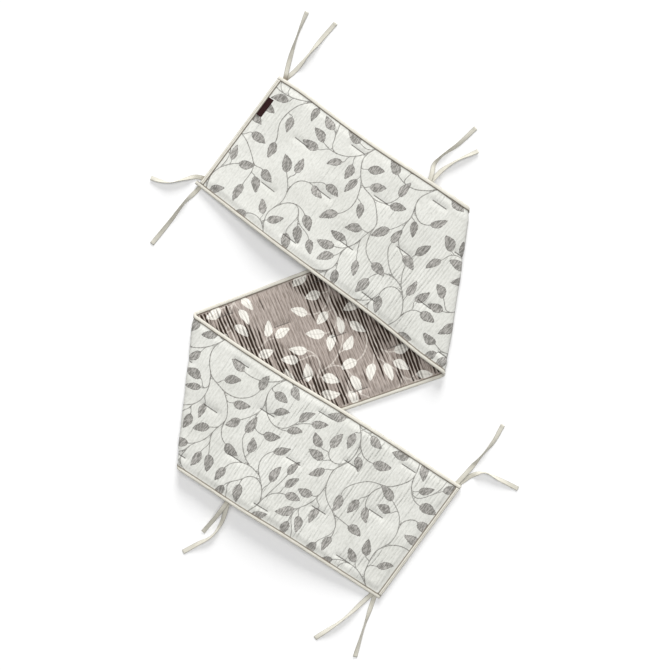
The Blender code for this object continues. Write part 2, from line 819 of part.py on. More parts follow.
def build_label(strip, pad, look):
    """A woven label on the white side, lying on the ribs near the top end."""
    rings = []
    for k in range(LABEL_STEPS_ALONG + 1):
        t = LABEL_FROM_EDGE + LABEL_LENGTH * k / LABEL_STEPS_ALONG
        lower, upper = [], []
        for j in range(LABEL_STEPS_ACROSS + 1):
            s = LABEL_FROM_END + LABEL_WIDTH * j / LABEL_STEPS_ACROSS
            foot = float(pad.half(s, t)) + RIB_HEIGHT / 2 + 2 * CLEARANCE
            lower.append(strip.point_st(s, t, foot))
            upper.append(strip.point_st(s, t, foot + LABEL_THICKNESS))
        rings.append(lower + upper[::-1])
    return sweep_sections("label", rings, look)


def main():
    clear_scene()
    cloth = material("cloth")
    tape = material("tape")
    label = material("label")
    strip = Strip()
    _, pad, rim_rows = build_pad(strip, cloth)
    build_tapes(strip, rim_rows, tape)
    for tie in TIES:
        build_tie(tie, tape)
    build_label(strip, pad, label)


main()
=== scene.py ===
import math

import bmesh
import bpy
import numpy as np
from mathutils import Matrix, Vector


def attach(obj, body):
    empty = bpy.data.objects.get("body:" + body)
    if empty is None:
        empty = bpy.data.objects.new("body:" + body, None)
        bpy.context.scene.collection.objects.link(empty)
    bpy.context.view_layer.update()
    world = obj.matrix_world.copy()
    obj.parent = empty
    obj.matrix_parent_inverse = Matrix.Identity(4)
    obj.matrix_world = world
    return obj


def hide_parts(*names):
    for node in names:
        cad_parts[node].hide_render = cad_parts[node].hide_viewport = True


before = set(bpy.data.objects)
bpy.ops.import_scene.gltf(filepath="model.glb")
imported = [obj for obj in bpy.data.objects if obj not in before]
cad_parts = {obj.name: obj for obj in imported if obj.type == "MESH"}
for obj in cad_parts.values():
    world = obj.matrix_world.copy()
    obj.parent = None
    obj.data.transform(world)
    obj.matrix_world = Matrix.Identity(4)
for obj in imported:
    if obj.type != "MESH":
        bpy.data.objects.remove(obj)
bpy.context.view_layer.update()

print("frame loaded")

# the strip as it is laid out: metres, seen from above, first edge above and second edge below
strip = {
    "width": 0.300,
    "padHalf": 0.0036,          # half the filled thickness
    "edgeHalf": 0.0012,         # half the thickness inside the tapes
    "foldRadius": 0.0095,
    "panelRows": 48,
    "foldRows": 60,
    "middle": (0.00023, 0.00273),       # the frame's origin in the corners' coordinates
    "corners": {
        "a": (-0.1236, 0.5829), "b": (0.3049, 0.2865), "c": (0.2485, -0.0897), "d": (-0.3070, 0.3368),
        "e": (-0.3165, 0.0520), "f": (-0.3545, -0.2970), "g": (0.1000, -0.5916), "h": (0.2859, -0.3385),
    },
}
flatLevel = strip["padHalf"]
overLevel = flatLevel + 2 * strip["foldRadius"]
# each panel's corners along both edges; then, at shares of its length, the heights of its middle layer
# and how far the edges stray outwards from straight lines
panels = [
    {"first": "ab", "second": "dc", "share": (0, 0.10, 0.28, 0.50, 0.75, 0.93, 1),
     "firstHeight": (0.0060, 0.0062, 0.0070, 0.0105, 0.0175, 0.0220, overLevel),
     "secondHeight": (0.0062, 0.0135, 0.0300, 0.0310, 0.0245, overLevel, overLevel),
     "firstStray": (0.0, 0.0025, -0.0009, -0.0044, -0.0020, -0.0004, 0.0),
     "secondStray": (0.0, 0.0006, 0.0017, -0.0004, -0.0027, 0.0013, 0.0)},
    {"first": "be", "second": "cf", "share": (0, 1),
     "firstHeight": (flatLevel, flatLevel), "secondHeight": (flatLevel, flatLevel),
     "firstStray": (0.0, 0.0), "secondStray": (0.0, 0.0)},
    {"first": "eh", "second": "fg", "share": (0, 0.07, 0.30, 0.52, 0.75, 0.92, 1),
     "firstHeight": (overLevel, overLevel, 0.0180, 0.0155, 0.0090, 0.0062, 0.0060),
     "secondHeight": (overLevel, 0.0230, 0.0290, 0.0285, 0.0180, 0.0085, 0.0062),
     "firstStray": (0.0, -0.0020, -0.0045, 0.0, 0.0012, 0.0, 0.0),
     "secondStray": (0.0, 0.0, 0.0005, -0.0020, -0.0010, 0.0, 0.0)},
]


def unit(vectors):
    vectors = np.asarray(vectors, float)
    return vectors / np.linalg.norm(vectors, axis=-1, keepdims=True)


def easeStep(value):
    value = np.clip(value, 0.0, 1.0)
    return value * value * (3.0 - 2.0 * value)


def smoothCurve(knots, values, at):
    # through every knot, its slope there the mean slope of its neighbours
    knots, values, at = np.asarray(knots, float), np.asarray(values, float), np.asarray(at, float)
    slopes = np.gradient(values, knots, axis=0)
    place = np.clip(np.searchsorted(knots, at) - 1, 0, len(knots) - 2)
    width = knots[place + 1] - knots[place]
    u = (at - knots[place]) / width
    if values.ndim > 1:
        u, width = u[:, None], width[:, None]
    start = (1 + 2 * u) * (1 - u) ** 2 * values[place] + u * (1 - u) ** 2 * width * slopes[place]
    return start + u * u * (3 - 2 * u) * values[place + 1] + u * u * (u - 1) * width * slopes[place + 1]


def lengthAlong(points):
    # how far along its line each point lies
    return np.concatenate([[0.0], np.cumsum(np.linalg.norm(np.diff(points, axis=0), axis=1))])


def aboveFloor(points, least=0.0):
    points[..., 2] = np.maximum(points[..., 2], least)
    return points


def layOutStrip():
    # rows of straight lines across the folded middle layer, from the first edge to the second
    first, second, normals, foldSpans = [], [], [], []
    corner = {name: np.array([x, y, 0.0]) for name, (x, y) in strip["corners"].items()}
    edges = ("first", "second")
    starts = {edge: corner[panels[0][edge][0]] for edge in edges}
    radius = strip["foldRadius"]
    for number, panel in enumerate(panels):
        whiteUp = 1.0 if number % 2 == 0 else -1.0
        last = number == len(panels) - 1
        ends = {edge: corner[panel[edge][1]] for edge in edges}
        if not last:
            foldLine = unit(ends["second"] - ends["first"])
            outward = np.array([-foldLine[1], foldLine[0], 0.0]) * whiteUp
            reached, drift = {}, {}
            for edge in edges:
                heading = unit(ends[edge] - corner[panel[edge][0]])
                reach = heading @ outward
                reached[edge] = ends[edge] - heading * (radius + strip["padHalf"]) / reach
                drift[edge] = math.pi * radius * (heading @ foldLine) / reach
            ends = reached
        share = np.linspace(0.0, 1.0, strip["panelRows"] + 1)
        lines = {}
        for edge, other in (("first", "second"), ("second", "first")):
            line = starts[edge] + share[:, None] * (ends[edge] - starts[edge])
            heading = unit(ends[edge] - starts[edge])
            side = np.array([-heading[1], heading[0], 0.0])
            side = side * np.sign(side @ (starts[edge] - starts[other]))
            line = line + smoothCurve(panel["share"], panel[edge + "Stray"], share)[:, None] * side
            line[:, 2] = smoothCurve(panel["share"], panel[edge + "Height"], share)
            lines[edge] = line
        along = np.gradient((lines["first"] + lines["second"]) / 2, axis=0)
        up = np.cross(lines["second"] - lines["first"], along)
        up = unit(up * whiteUp * np.sign(up[:, 2:]))
        stop = None if last else -1
        first.extend(lines["first"][:stop])
        second.extend(lines["second"][:stop])
        normals.extend(up[:stop])
        if last:
            continue
        begin = len(first)
        for theta in np.linspace(0.0, math.pi, strip["foldRows"] + 1):
            lean = outward * math.sin(theta)
            lean[2] = whiteUp * math.cos(theta)
            for edge, held in (("first", first), ("second", second)):
                axis = ends[edge] + foldLine * drift[edge] * theta / math.pi
                axis[2] = flatLevel + radius
                held.append(axis + radius * lean)
            normals.append(lean)
        foldSpans.append((begin, begin + strip["foldRows"]))
        starts = {edge: ends[edge] + foldLine * drift[edge] for edge in edges}
        for held in (first, second, normals):
            held.pop()
    first, second, normals = np.array(first), np.array(second), np.array(normals)
    for line in (first, second):
        line[:, :2] -= strip["middle"]
    alongFirst, alongSecond = lengthAlong(first), lengthAlong(second)
    length = (alongFirst[-1] + alongSecond[-1]) / 2
    return {
        "first": first, "second": second, "normals": normals, "foldSpans": foldSpans, "length": length,
        "sFirst": alongFirst * length / alongFirst[-1], "sSecond": alongSecond * length / alongSecond[-1],
    }


laid = layOutStrip()
width, length = strip["width"], laid["length"]


def rowsAt(s, t):
    # row number and share of the way to the next row, by halving
    v = t / width
    inside = np.clip(s, 0.0, length)
    low = np.zeros(s.shape, int)
    high = np.full(s.shape, len(laid["first"]) - 1)
    for _ in range(9):
        middle = (low + high) // 2
        before = (1 - v) * laid["sFirst"][middle] + v * laid["sSecond"][middle] <= inside
        low, high = np.where(before, middle, low), np.where(before, high, middle)
    low = np.minimum(low, len(laid["first"]) - 2)
    sLow = (1 - v) * laid["sFirst"][low] + v * laid["sSecond"][low]
    sHigh = (1 - v) * laid["sFirst"][low + 1] + v * laid["sSecond"][low + 1]
    return low, np.clip((inside - sLow) / (sHigh - sLow), 0.0, 1.0)


def onStrip(s, t, h):
    # s along the strip, t across it, h over the middle layer towards the white side, in metres
    s, t, h = np.broadcast_arrays(*(np.asarray(x, float) for x in (s, t, h)))
    low, part = rowsAt(s, t)
    part, v = part[..., None], (t / width)[..., None]
    first = laid["first"][low] * (1 - part) + laid["first"][low + 1] * part
    second = laid["second"][low] * (1 - part) + laid["second"][low + 1] * part
    normal = unit(laid["normals"][low] * (1 - part) + laid["normals"][low + 1] * part)
    here = first * (1 - v) + second * v
    step = (laid["first"][low + 1] - laid["first"][low]) * (1 - v)
    step = unit(step + (laid["second"][low + 1] - laid["second"][low]) * v)
    beyond = (s - np.clip(s, 0.0, length))[..., None]       # past its ends the strip runs straight on
    return here + step * beyond + normal * h[..., None]


def rowNumber(s, t):
    low, part = rowsAt(*np.broadcast_arrays(np.asarray(s, float), np.asarray(t, float)))
    return low + part


def softNoise(s, t, reachS, reachT, seed, waves=9):
    # smooth unevenness between about -1 and 1, from a few long waves
    draw = np.random.default_rng(seed)
    total = 0.0
    for _ in range(waves):
        turn, phase, scale = draw.uniform(0, math.tau), draw.uniform(0, math.tau), draw.uniform(0.6, 1.6)
        total = total + np.sin(
            math.tau * (s * math.cos(turn) / reachS + t * math.sin(turn) / reachT) / scale + phase)
    return total / math.sqrt(waves)


print("strip laid out, %.3f m long" % length)

# quilting: ribs across the strip and short tacks through it

quilting = {
    "ribPitch": 0.0075,
    "ribWander": 0.0014,        # how far a rib strays from its even place
    "whiteRib": 0.00046,        # half the height of a rib on the white side, on average
    "taupeRib": 0.00070,        # and on the reverse
    "ribUneven": 0.80,
    "overlapRib": 0.00060,      # more on the reverse beside the panels that lie on it
    "overlapReach": 0.045,
    "ribbedAt": 0.50,           # along the strip, where the white side's ribs stand out before a fold
    "ribbedFrom": 1.25,         # and from where on they do again
    "tackLength": 0.036,
    "tackDepth": 0.0017,        # the wide dimple round a tack
    "tackSpread": 0.0080,
    "pinchDepth": 0.0007,       # and the sharp one right under its thread
    "pinchSpread": 0.0022,
    "puff": 0.0005,             # the pad stands higher away from its tacks
    "puffFrom": 0.012,
    "puffOver": 0.030,
    "tackFirst": 0.130,
    "tackPitch": 0.110,
    "tackRows": ((0.3, 0.7), (0.1, 0.5, 0.9)),      # shares of the width, in turn
    "swell": 0.00045,           # unevenness of the filling
    "foldSwell": 0.00070,       # and more of it where the strip is folded over
    "edgeLine": 0.0085,
    "endLine": 0.0095,
    "shoulder": 0.016,
    "inset": 0.0015,            # the cloths end this far inside the tapes
    "rowsUnderTape": (0.0050, 0.0078),      # a cloth's rows of points, in from its edge
    "rowsOnShoulder": (0.0095, 0.0108, 0.0128, 0.0153, 0.0180),
    "evenRowsFrom": 0.0207,
    "columnUnderTape": 0.0055,
}
ribFirst = quilting["endLine"] + 0.002
far = 9.0       # mm at which a field for the looks stops: too far from its line to show
tacks = []
for column in range(int((length - 1.5 * quilting["tackFirst"]) / quilting["tackPitch"]) + 1):
    for share in quilting["tackRows"][column % 2]:
        tacks.append((quilting["tackFirst"] + column * quilting["tackPitch"], share * width))


def edgeShoulder(s, t):
    fromEdge = np.minimum(t, width - t) - quilting["edgeLine"]
    fromEnd = np.minimum(s, length - s) - quilting["endLine"]
    return easeStep(fromEdge / quilting["shoulder"]) * easeStep(fromEnd / quilting["shoulder"])


def nearTacks(s, t):
    # metres to the nearest tack; mm across from its line, signed, and mm past its ends
    nearest = np.full(np.broadcast(s, t).shape, 1.0)
    across, past = np.full(nearest.shape, far), np.full(nearest.shape, far)
    for tackS, tackT in tacks:
        beyond = np.maximum(abs(s - tackS) - quilting["tackLength"] / 2, 0.0)
        distance = np.hypot(beyond, t - tackT)
        closer = distance < nearest
        nearest[closer] = distance[closer]
        across[closer], past[closer] = (t - tackT)[closer] * 1000, beyond[closer] * 1000
    past = np.where(abs(across) >= far, far, np.clip(past, 0, far))
    return nearest, np.clip(across, -far, far), past


def ribWander(s, t):
    stray = softNoise(s, t, 0.060, 0.110, 11) * 0.7 + softNoise(s, t, 0.022, 0.070, 12) * 0.3
    return stray * quilting["ribWander"] * edgeShoulder(s, t)


def overlapNearness(s, t):
    # 1 on the middle panel right beside a panel that lies on it, 0 well away from it
    place = onStrip(s, t, 0.0)[..., :2]
    near = np.zeros(place.shape[:-1])
    for begin, end in ("dc", "eh"):
        begin = np.array(strip["corners"][begin]) - strip["middle"]
        end = np.array(strip["corners"][end]) - strip["middle"]
        heading = unit(end - begin)
        away = abs((place - begin) @ np.array([-heading[1], heading[0]]))
        near = np.maximum(near, np.exp(-((away / quilting["overlapReach"]) ** 2)))
    return near


def ribStrength(s, t, side):
    uneven = softNoise(s, t, 0.20, 0.26, 21 + side) * 0.55 + softNoise(s, t, 0.017, 0.14, 31 + side) * 0.6
    if side > 0:
        nearFold = np.exp(-((s - quilting["ribbedAt"]) / 0.09) ** 2) * easeStep((t - 0.02) / 0.20)
        nearFold = nearFold + 0.25 * easeStep((s - quilting["ribbedFrom"]) / 0.15)
        strength = quilting["whiteRib"] * (0.38 + 0.70 * nearFold)
    else:
        strength = quilting["taupeRib"]
    strength = strength * np.clip(1 + quilting["ribUneven"] * uneven, 0.15, 2.2)
    if side < 0:
        strength = strength + quilting["overlapRib"] * overlapNearness(s, t)
    return strength


def valleyShadeShare(evenS, t, side):
    # how much painted shade darkens the valley between two ribs, 0 to 1: some are long creases, most are
    # hardly there; on the reverse it is deepest beside the panels that lie on it
    number = np.clip(((evenS - ribFirst) / quilting["ribPitch"]).astype(int), 0, 399)
    own = np.random.default_rng(51 + side).uniform(0, 1, 400)[number]
    along = softNoise(number * 0.0137, t, 0.011, 0.075, 53 + side)
    if side > 0:
        nearFold = np.exp(-((evenS - quilting["ribbedAt"]) / 0.08) ** 2) * easeStep((t - 0.04) / 0.18)
        nearFold = nearFold + 0.60 * easeStep((evenS - quilting["ribbedFrom"] - 0.05) / 0.30)
        nearFold = nearFold + 0.55 * np.clip(softNoise(evenS, t, 0.15, 0.15, 59), 0, 1)
        return np.clip(0.14 + 0.40 * along + 0.5 * (own - 0.5), 0.0, 0.8) * np.clip(0.15 + nearFold, 0, 1.1)
    patchy = 1 + 0.35 * softNoise(evenS, t, 0.09, 0.09, 57)
    grouped = softNoise(evenS, t, 0.030, 0.110, 58)
    near = np.clip(overlapNearness(evenS, t) * 1.90 * patchy - 0.20, 0.0, 1.0)
    single = np.clip(own * 2.8 - 1.9 + 0.65 * along, 0.0, 0.75)
    gathered = near * np.clip(0.78 + 0.70 * (own - 0.5) + 0.30 * along + 0.38 * grouped, 0.15, 1.3)
    return np.clip(np.maximum(single, gathered) + 0.10, 0.0, 1.0)


def clothHeight(s, t, side, valley):
    # height of one cloth over the middle layer; valley is 0 on a rib's top and 1 between two ribs
    full = edgeShoulder(s, t)
    half = strip["edgeHalf"] + (strip["padHalf"] - strip["edgeHalf"]) * full
    row = rowNumber(s, t)
    right, left = laid["foldSpans"]
    lying = easeStep((row - right[1]) / 4) * easeStep((left[0] - row) / 4)      # the panel on the floor
    distance = nearTacks(s, t)[0]
    dip = quilting["tackDepth"] * np.exp(-((distance / quilting["tackSpread"]) ** 2))
    dip = dip + quilting["pinchDepth"] * np.exp(-((distance / quilting["pinchSpread"]) ** 2))
    folded = sum(easeStep((row - begin + 6) / 6) * easeStep((end + 6 - row) / 6)
                 for begin, end in laid["foldSpans"])
    swell = quilting["swell"] * softNoise(s, t, 0.085, 0.085, 41 + side)
    swell = swell + quilting["foldSwell"] * folded * softNoise(s * 0.2, t, 0.060, 0.048, 44)
    puffed = quilting["puff"] * easeStep((distance - quilting["puffFrom"]) / quilting["puffOver"])
    wave = 1 - 2 * valley ** 1.5
    rise = ribStrength(s, t, side) * wave + swell + puffed - dip
    if side > 0:
        rise = rise * (1 - lying)
    return half + rise * full


def clothRows(step):
    # places across the strip at which a cloth has its points: close by the tapes, then even
    q = quilting
    margin = [q["inset"], *q["rowsUnderTape"], q["edgeLine"], *q["rowsOnShoulder"]]
    start = q["evenRowsFrom"]
    count = round((width - 2 * start) / step)
    even = [start + (width - 2 * start) * k / count for k in range(count + 1)]
    return np.array(margin + even + [width - x for x in reversed(margin)])


def clothColumns(fine):
    # places along it, four to a rib where the cloth shows and two elsewhere; each with its valley value
    quarter = quilting["ribPitch"] / 4
    margin = [quilting["inset"], quilting["columnUnderTape"], quilting["endLine"]]
    places, valleys = list(margin), [0.5, 0.5, 0.5]
    count = int((length - 2 * ribFirst) / quarter) // 4 * 4
    for k in range(count + 1):
        s = ribFirst + k * quarter
        if k % 2 == 1 and not any(low <= s <= high for low, high in fine):
            continue
        places.append(s)
        valleys.append((0.0, 0.5, 1.0, 0.5)[k % 4])
    places += [length - x for x in reversed(margin)]
    valleys += [0.5, 0.5, 0.5]
    return np.array(places), np.array(valleys)


# the leaf scroll: grown anew for each cloth, in millimetres on the flat strip

scroll = {
    "leafLength": 40.0,
    "leafWidth": 22.5,
    "spacing": 34.0,
    "rounds": 4,                # goes over the cloth this often for leaves that still fit
    "stemHalf": {1: 1.25, -1: 1.80},    # half the width of a line on each side of the pad
    "twigHalf": {1: 1.05, -1: 1.55},
    "stemTaper": 0.80,          # how much of that is left at its end
    "twigTaper": 0.85,
    "rootPitch": 84.0,          # between two main stems, which start at the two edges in turn
    # main stems through these points, along and across from a root at the edge
    "mainStems": (
        ((0, -6), (26, 42), (18, 92), (46, 138), (96, 160), (136, 196), (142, 236)),
        ((0, -6), (-14, 40), (14, 84), (66, 104), (98, 142), (92, 190), (112, 228)),
        ((0, -6), (34, 34), (44, 82), (26, 126), (40, 172), (84, 200), (124, 206)),
    ),
    # branches: share of the main stem where each leaves, its length, and how far it swings round in degrees
    "branches": ((0.08, 104, 70), (0.12, 82, 118), (0.20, 74, -80), (0.32, 100, 95), (0.38, 74, 135),
                 (0.48, 92, -95), (0.60, 88, 80), (0.66, 62, 120), (0.72, 74, -100), (0.84, 56, 70)),
    "apart": 30.0,              # main stems keep this far from each other
    "leafRoom": 29.0,           # between the middles of two leaves
    "leafGap": 21.5,            # between the middle lines of two leaves
    "leafClear": 9.0,           # between a leaf's middle line and any stem
    "edgeRoom": 8.0,            # from a branch's end to the cloth's edge
    "leafSizes": (0.90, 1.08),
    "mainPoints": 90,
    "shortestMain": 28,         # points that a main stem keeps at least
    "mainHeights": (0.96, 1.04),
    "branchTries": 10,
    "branchSwings": (0.75, 1.2),
    "branchLengths": (0.7, 1.15),
    "leafTries": 22,            # for a single leaf on a twig, until one costs little enough
    "singleSizes": (0.88, 1.06),
    "twigSpans": (13, 90),
    "goodCost": 1.5,
    "worstCost": 7,             # a leaf that costs more is left out
}


def throughPoints(points, steps):
    points = np.asarray(points, float)
    along = lengthAlong(points)
    return smoothCurve(along, points, np.linspace(0, along[-1], steps))


def bezier(points, steps):
    u = np.linspace(0.0, 1.0, steps)[:, None]
    a, b, c, d = (np.asarray(p, float) for p in points)
    return (1 - u) ** 3 * a + 3 * u * (1 - u) ** 2 * b + 3 * u * u * (1 - u) * c + u ** 3 * d


def turned(vector, angle):
    cosine, sine = math.cos(angle), math.sin(angle)
    return np.array([vector[0] * cosine - vector[1] * sine, vector[0] * sine + vector[1] * cosine])


def swingOut(begin, heading, reach, turn):
    # an arc that leaves along the heading and turns ever more, by turn in all
    share = np.linspace(0.0, 1.0, 26)
    angle = math.atan2(heading[1], heading[0]) + math.radians(turn) * share ** 1.25
    steps = np.stack([np.cos(angle), np.sin(angle)], axis=1)
    return np.vstack([[begin], begin + np.cumsum(steps[:-1] * reach / 25, axis=0)]), steps[-1]


def spineOf(base, heading, start, end, count, size=1.0):
    # points on a leaf's middle line, between two shares of its length
    return base + heading * np.linspace(start, end, count)[:, None] * scroll["leafLength"] * size


def closest(points, others):
    return np.min(np.linalg.norm(np.asarray(points)[:, None] - np.asarray(others)[None], axis=2))


class Scroll:
    # grows main stems from both edges, then branches, then single leaves where there is room
    def __init__(self, seed, mirrored, shift):
        self.draw = np.random.default_rng(seed)
        self.stems, self.twigs, self.leaves, self.mains = [], [], [], []
        roots = np.arange(shift, length * 1000 + 260, scroll["rootPitch"])
        for number, root in enumerate(roots):
            self.growMain(number, root, mirrored)
        for main in self.mains:
            self.growBranches(main)
        self.network = np.vstack([line[:-1] for line in self.stems])
        self.headings = np.vstack([unit(np.diff(line, axis=0)) for line in self.stems])
        for _ in range(scroll["rounds"]):
            for site in self.findSites():
                self.growLeaf(site)

    def addLeaf(self, base, heading, size):
        self.leaves.append({
            "base": base, "heading": heading, "size": size,
            "centre": base + heading * scroll["leafLength"] * size / 2,
            "spine": spineOf(base, heading, 0.12, 0.9, 5, size),
            "bend": self.draw.uniform(-0.16, 0.16), "plump": self.draw.uniform(0.90, 1.08),
            "tone": self.draw.uniform(0, 1),
        })

    def hasRoom(self, base, heading):
        if not self.leaves:
            return True
        spines = np.vstack([leaf["spine"] for leaf in self.leaves])
        return closest(spineOf(base, heading, 0.12, 0.9, 5), spines) > scroll["leafGap"]

    def growMain(self, number, root, mirrored):
        line = throughPoints(scroll["mainStems"][number % len(scroll["mainStems"])], scroll["mainPoints"])
        line = line * np.array([1.0, self.draw.uniform(*scroll["mainHeights"])])
        if number % 2:
            line = line * np.array([1.0, -1.0]) + np.array([0.0, width * 1000])
        if (number // 2 + mirrored) % 2:
            line = line * np.array([-1.0, 1.0])
        line = line + np.array([root, 0.0])
        keep = len(line)
        if self.mains:
            others = np.vstack(self.mains)
            gaps = np.min(np.linalg.norm(line[:, None] - others[None], axis=2), axis=1)
            close = [k for k in np.nonzero(gaps < scroll["apart"])[0] if k > 12]
            keep = close[0] if close else keep
        shortest = scroll["shortestMain"]
        while keep > shortest and not self.hasRoom(line[keep - 1], unit(line[keep - 1] - line[keep - 4])):
            keep -= 4
        if keep <= shortest:
            return
        line = line[:keep]
        self.mains.append(line)
        self.stems.append(line)
        self.addLeaf(line[-1], unit(line[-1] - line[-4]), self.draw.uniform(*scroll["leafSizes"]))

    def growBranches(self, main):
        flip = 1.0 if main[-1][1] > main[0][1] else -1.0
        for share, reach, turn in scroll["branches"]:
            at = int(share * (len(main) - 1))
            if at >= len(main) - 4:
                continue
            heading = unit(main[at + 1] - main[at])
            for _ in range(scroll["branchTries"]):
                swing = turn * self.draw.uniform(*scroll["branchSwings"]) * flip
                reachNow = reach * self.draw.uniform(*scroll["branchLengths"])
                leaving = turned(heading, math.radians(8) * np.sign(swing))
                branch, tip = swingOut(main[at], leaving, reachNow, swing)
                spine = spineOf(branch[-1], tip, 0.25, 1.05, 6)
                others = np.vstack(self.stems)
                inside = scroll["edgeRoom"] < branch[-1][1] < width * 1000 - scroll["edgeRoom"]
                if not inside or not self.hasRoom(branch[-1], tip):
                    continue
                if min(closest(branch[10:], others), closest(spine, others)) > scroll["leafClear"]:
                    self.stems.append(branch)
                    self.addLeaf(branch[-1], tip, self.draw.uniform(*scroll["leafSizes"]))
                    break

    def findSites(self):
        sites = []
        pitch = scroll["spacing"]
        for row in range(int(width * 1000 / (pitch * 0.87)) + 2):
            for column in range(-1, int(length * 1000 / pitch) + 3):
                site = np.array([(column + 0.5 * (row % 2)) * pitch, (row - 0.35) * pitch * 0.87])
                sites.append(site + self.draw.uniform(-0.2, 0.2, 2) * pitch)
        sites.sort(key=lambda site: np.min(np.sum((self.network - site) ** 2, axis=1)))
        return sites

    def growLeaf(self, site):
        near = [leaf for leaf in self.leaves if abs(leaf["centre"][0] - site[0]) < 120]
        centres = np.array([leaf["centre"] for leaf in near])
        spines = np.vstack([leaf["spine"] for leaf in near])
        if closest([site], centres) < scroll["leafRoom"] - 3:
            return
        inReach = abs(self.network[:, 0] - site[0]) < 130
        network, headings = self.network[inReach], self.headings[inReach]
        gap = np.linalg.norm(network - site, axis=1)
        nearest = int(np.argmin(gap))
        best = None
        shortest, longest = scroll["twigSpans"]
        for _ in range(scroll["leafTries"]):
            size = self.draw.uniform(*scroll["singleSizes"])
            back = self.draw.uniform(0.3, 1.3) * max(gap[nearest], 22)
            root = network[nearest] - headings[nearest] * back
            root = int(np.argmin(np.sum((network - root) ** 2, axis=1)))
            begin, stemHeading = network[root], headings[root]
            towards = unit(site - begin)
            side = np.sign(stemHeading[0] * towards[1] - stemHeading[1] * towards[0])
            leafHeading = unit(0.8 * towards + 0.3 * stemHeading)
            leafHeading = turned(leafHeading, side * self.draw.uniform(-0.2, 0.6))
            base = site - leafHeading * scroll["leafLength"] * size / 2
            span = np.linalg.norm(base - begin)
            if span < shortest or span > longest:
                continue
            twig = bezier((begin, begin + turned(stemHeading, side * 0.15) * span * 0.5,
                           base - leafHeading * span * 0.38, base), 26)
            bends = unit(np.diff(twig, axis=0))
            sharp = np.degrees(np.arccos(np.clip((bends[1:] * bends[:-1]).sum(axis=1), -1, 1))).max()
            spine = spineOf(base, leafHeading, 0.1, 1.05, 7, size)
            # a long or sharply bent twig costs a little, one that comes too near a neighbour a lot
            cost = 0.02 * span + max(0.0, sharp - 7) * 0.6
            cost += max(0.0, scroll["leafClear"] - closest(spine, network)) * 3
            cost += max(0.0, scroll["leafGap"] - closest(spine[:6], spines)) * 4
            cost += max(0.0, 14 - closest(twig[4:], centres)) * 3
            cost += max(0.0, 5 - closest(twig[9:], network)) * 1.5
            if best is None or cost < best[0]:
                best = (cost, twig, base, leafHeading, size)
            if cost < scroll["goodCost"]:
                break
        if best is None or best[0] > scroll["worstCost"]:
            return
        _, twig, base, leafHeading, size = best
        self.addLeaf(base, leafHeading, size)
        self.twigs.append(twig)
        self.network = np.vstack([self.network, twig[3:-1]])
        self.headings = np.vstack([self.headings, unit(np.diff(twig[2:], axis=0))[1:]])


def gridAround(sMm, tMm, low, high, origin, heading):
    # the part of the grid between two corners, and there the places along the heading and to its left
    part = tuple(slice(*np.searchsorted(axis, (low[k], high[k]))) for k, axis in enumerate((sMm, tMm)))
    fromX = sMm[part[0], None] - origin[0]
    fromY = tMm[None, part[1]] - origin[1]
    return part, fromX * heading[0] + fromY * heading[1], heading[0] * fromY - heading[1] * fromX


def keepNearest(part, distance, nearest, *fields):
    # where the distance is the least so far, it is kept, and each field takes its new value
    closer = distance < nearest[part]
    nearest[part][closer] = distance[closer]
    for field, value in fields:
        field[part][closer] = np.broadcast_to(value, closer.shape)[closer]


def bandField(sMm, tMm, lines, startHalf, taper):
    # offset from the nearest line in half-widths of that line, signed, and plain distance in mm
    offset = np.full((len(sMm), len(tMm)), far)
    near = offset.copy()
    for line in lines:
        count = len(line) - 1
        for k in range(count):
            begin, end = line[k], line[k + 1]
            span = math.hypot(*(end - begin))
            if span < 1e-6:
                continue
            half = startHalf + (startHalf * taper - startHalf) * k / count
            part, along, side = gridAround(sMm, tMm, np.minimum(begin, end) - far,
                                           np.maximum(begin, end) + far, begin, (end - begin) / span)
            distance = np.hypot(along - np.clip(along, 0, span), side)
            keepNearest(part, distance, near, (offset, side / half))
    return np.clip(offset, -far, far), near


def leafFields(sMm, tMm, leaves):
    # signed distance from the nearest leaf's outline in mm (inside is below 0), offset from its
    # middle vein in mm, and a number for its shade
    outline = np.full((len(sMm), len(tMm)), far)
    vein, tone = outline.copy(), np.full(outline.shape, 0.5)
    for leaf in leaves:
        long = scroll["leafLength"] * leaf["size"]
        half = scroll["leafWidth"] * leaf["size"] * leaf["plump"] / 2
        reach = long / 2 + 12
        part, x, y = gridAround(sMm, tMm, leaf["centre"] - reach, leaf["centre"] + reach,
                                leaf["base"], leaf["heading"])
        u = np.clip(x / long, 0.0, 1.0)
        y = y - leaf["bend"] * long * np.sin(math.pi * u) * 0.5
        profile = np.sin(math.pi * u ** 0.80) ** 0.80 * (1 - 0.22 * u)
        across = (abs(y) - half * profile) * 0.88
        distance = np.where((x < 0) | (x > long), np.hypot(x - u * long, y), across)
        keepNearest(part, distance, outline, (vein, y), (tone, leaf["tone"]))
    return outline, np.clip(vein, -far, far), tone


# meshes


def addMesh(name, points, faces, look, uvs, fields=None):
    mesh = bpy.data.meshes.new(name)
    points = np.asarray(points, float).reshape(-1, 3)
    faces = np.asarray(faces, np.int32)
    mesh.vertices.add(len(points))
    mesh.vertices.foreach_set("co", points.ravel())
    sides = faces.shape[1]
    mesh.loops.add(faces.size)
    mesh.loops.foreach_set("vertex_index", faces.ravel())
    mesh.polygons.add(len(faces))
    mesh.polygons.foreach_set("loop_start", np.arange(0, faces.size, sides, dtype=np.int32))
    mesh.update(calc_edges=True)
    for label, values in uvs.items():
        layer = mesh.uv_layers.new(name=label)
        values = np.asarray(values, float)
        if len(values) == len(points):
            values = values[faces.ravel()]
        layer.data.foreach_set("uv", values.ravel())
    for label, values in (fields or {}).items():
        field = mesh.attributes.new(label, "FLOAT", "POINT")
        field.data.foreach_set("value", np.asarray(values, np.float32).ravel())
    mesh.shade_smooth()
    mesh.materials.append(look)
    piece = bpy.data.objects.new(name, mesh)
    bpy.context.scene.collection.objects.link(piece)
    return piece


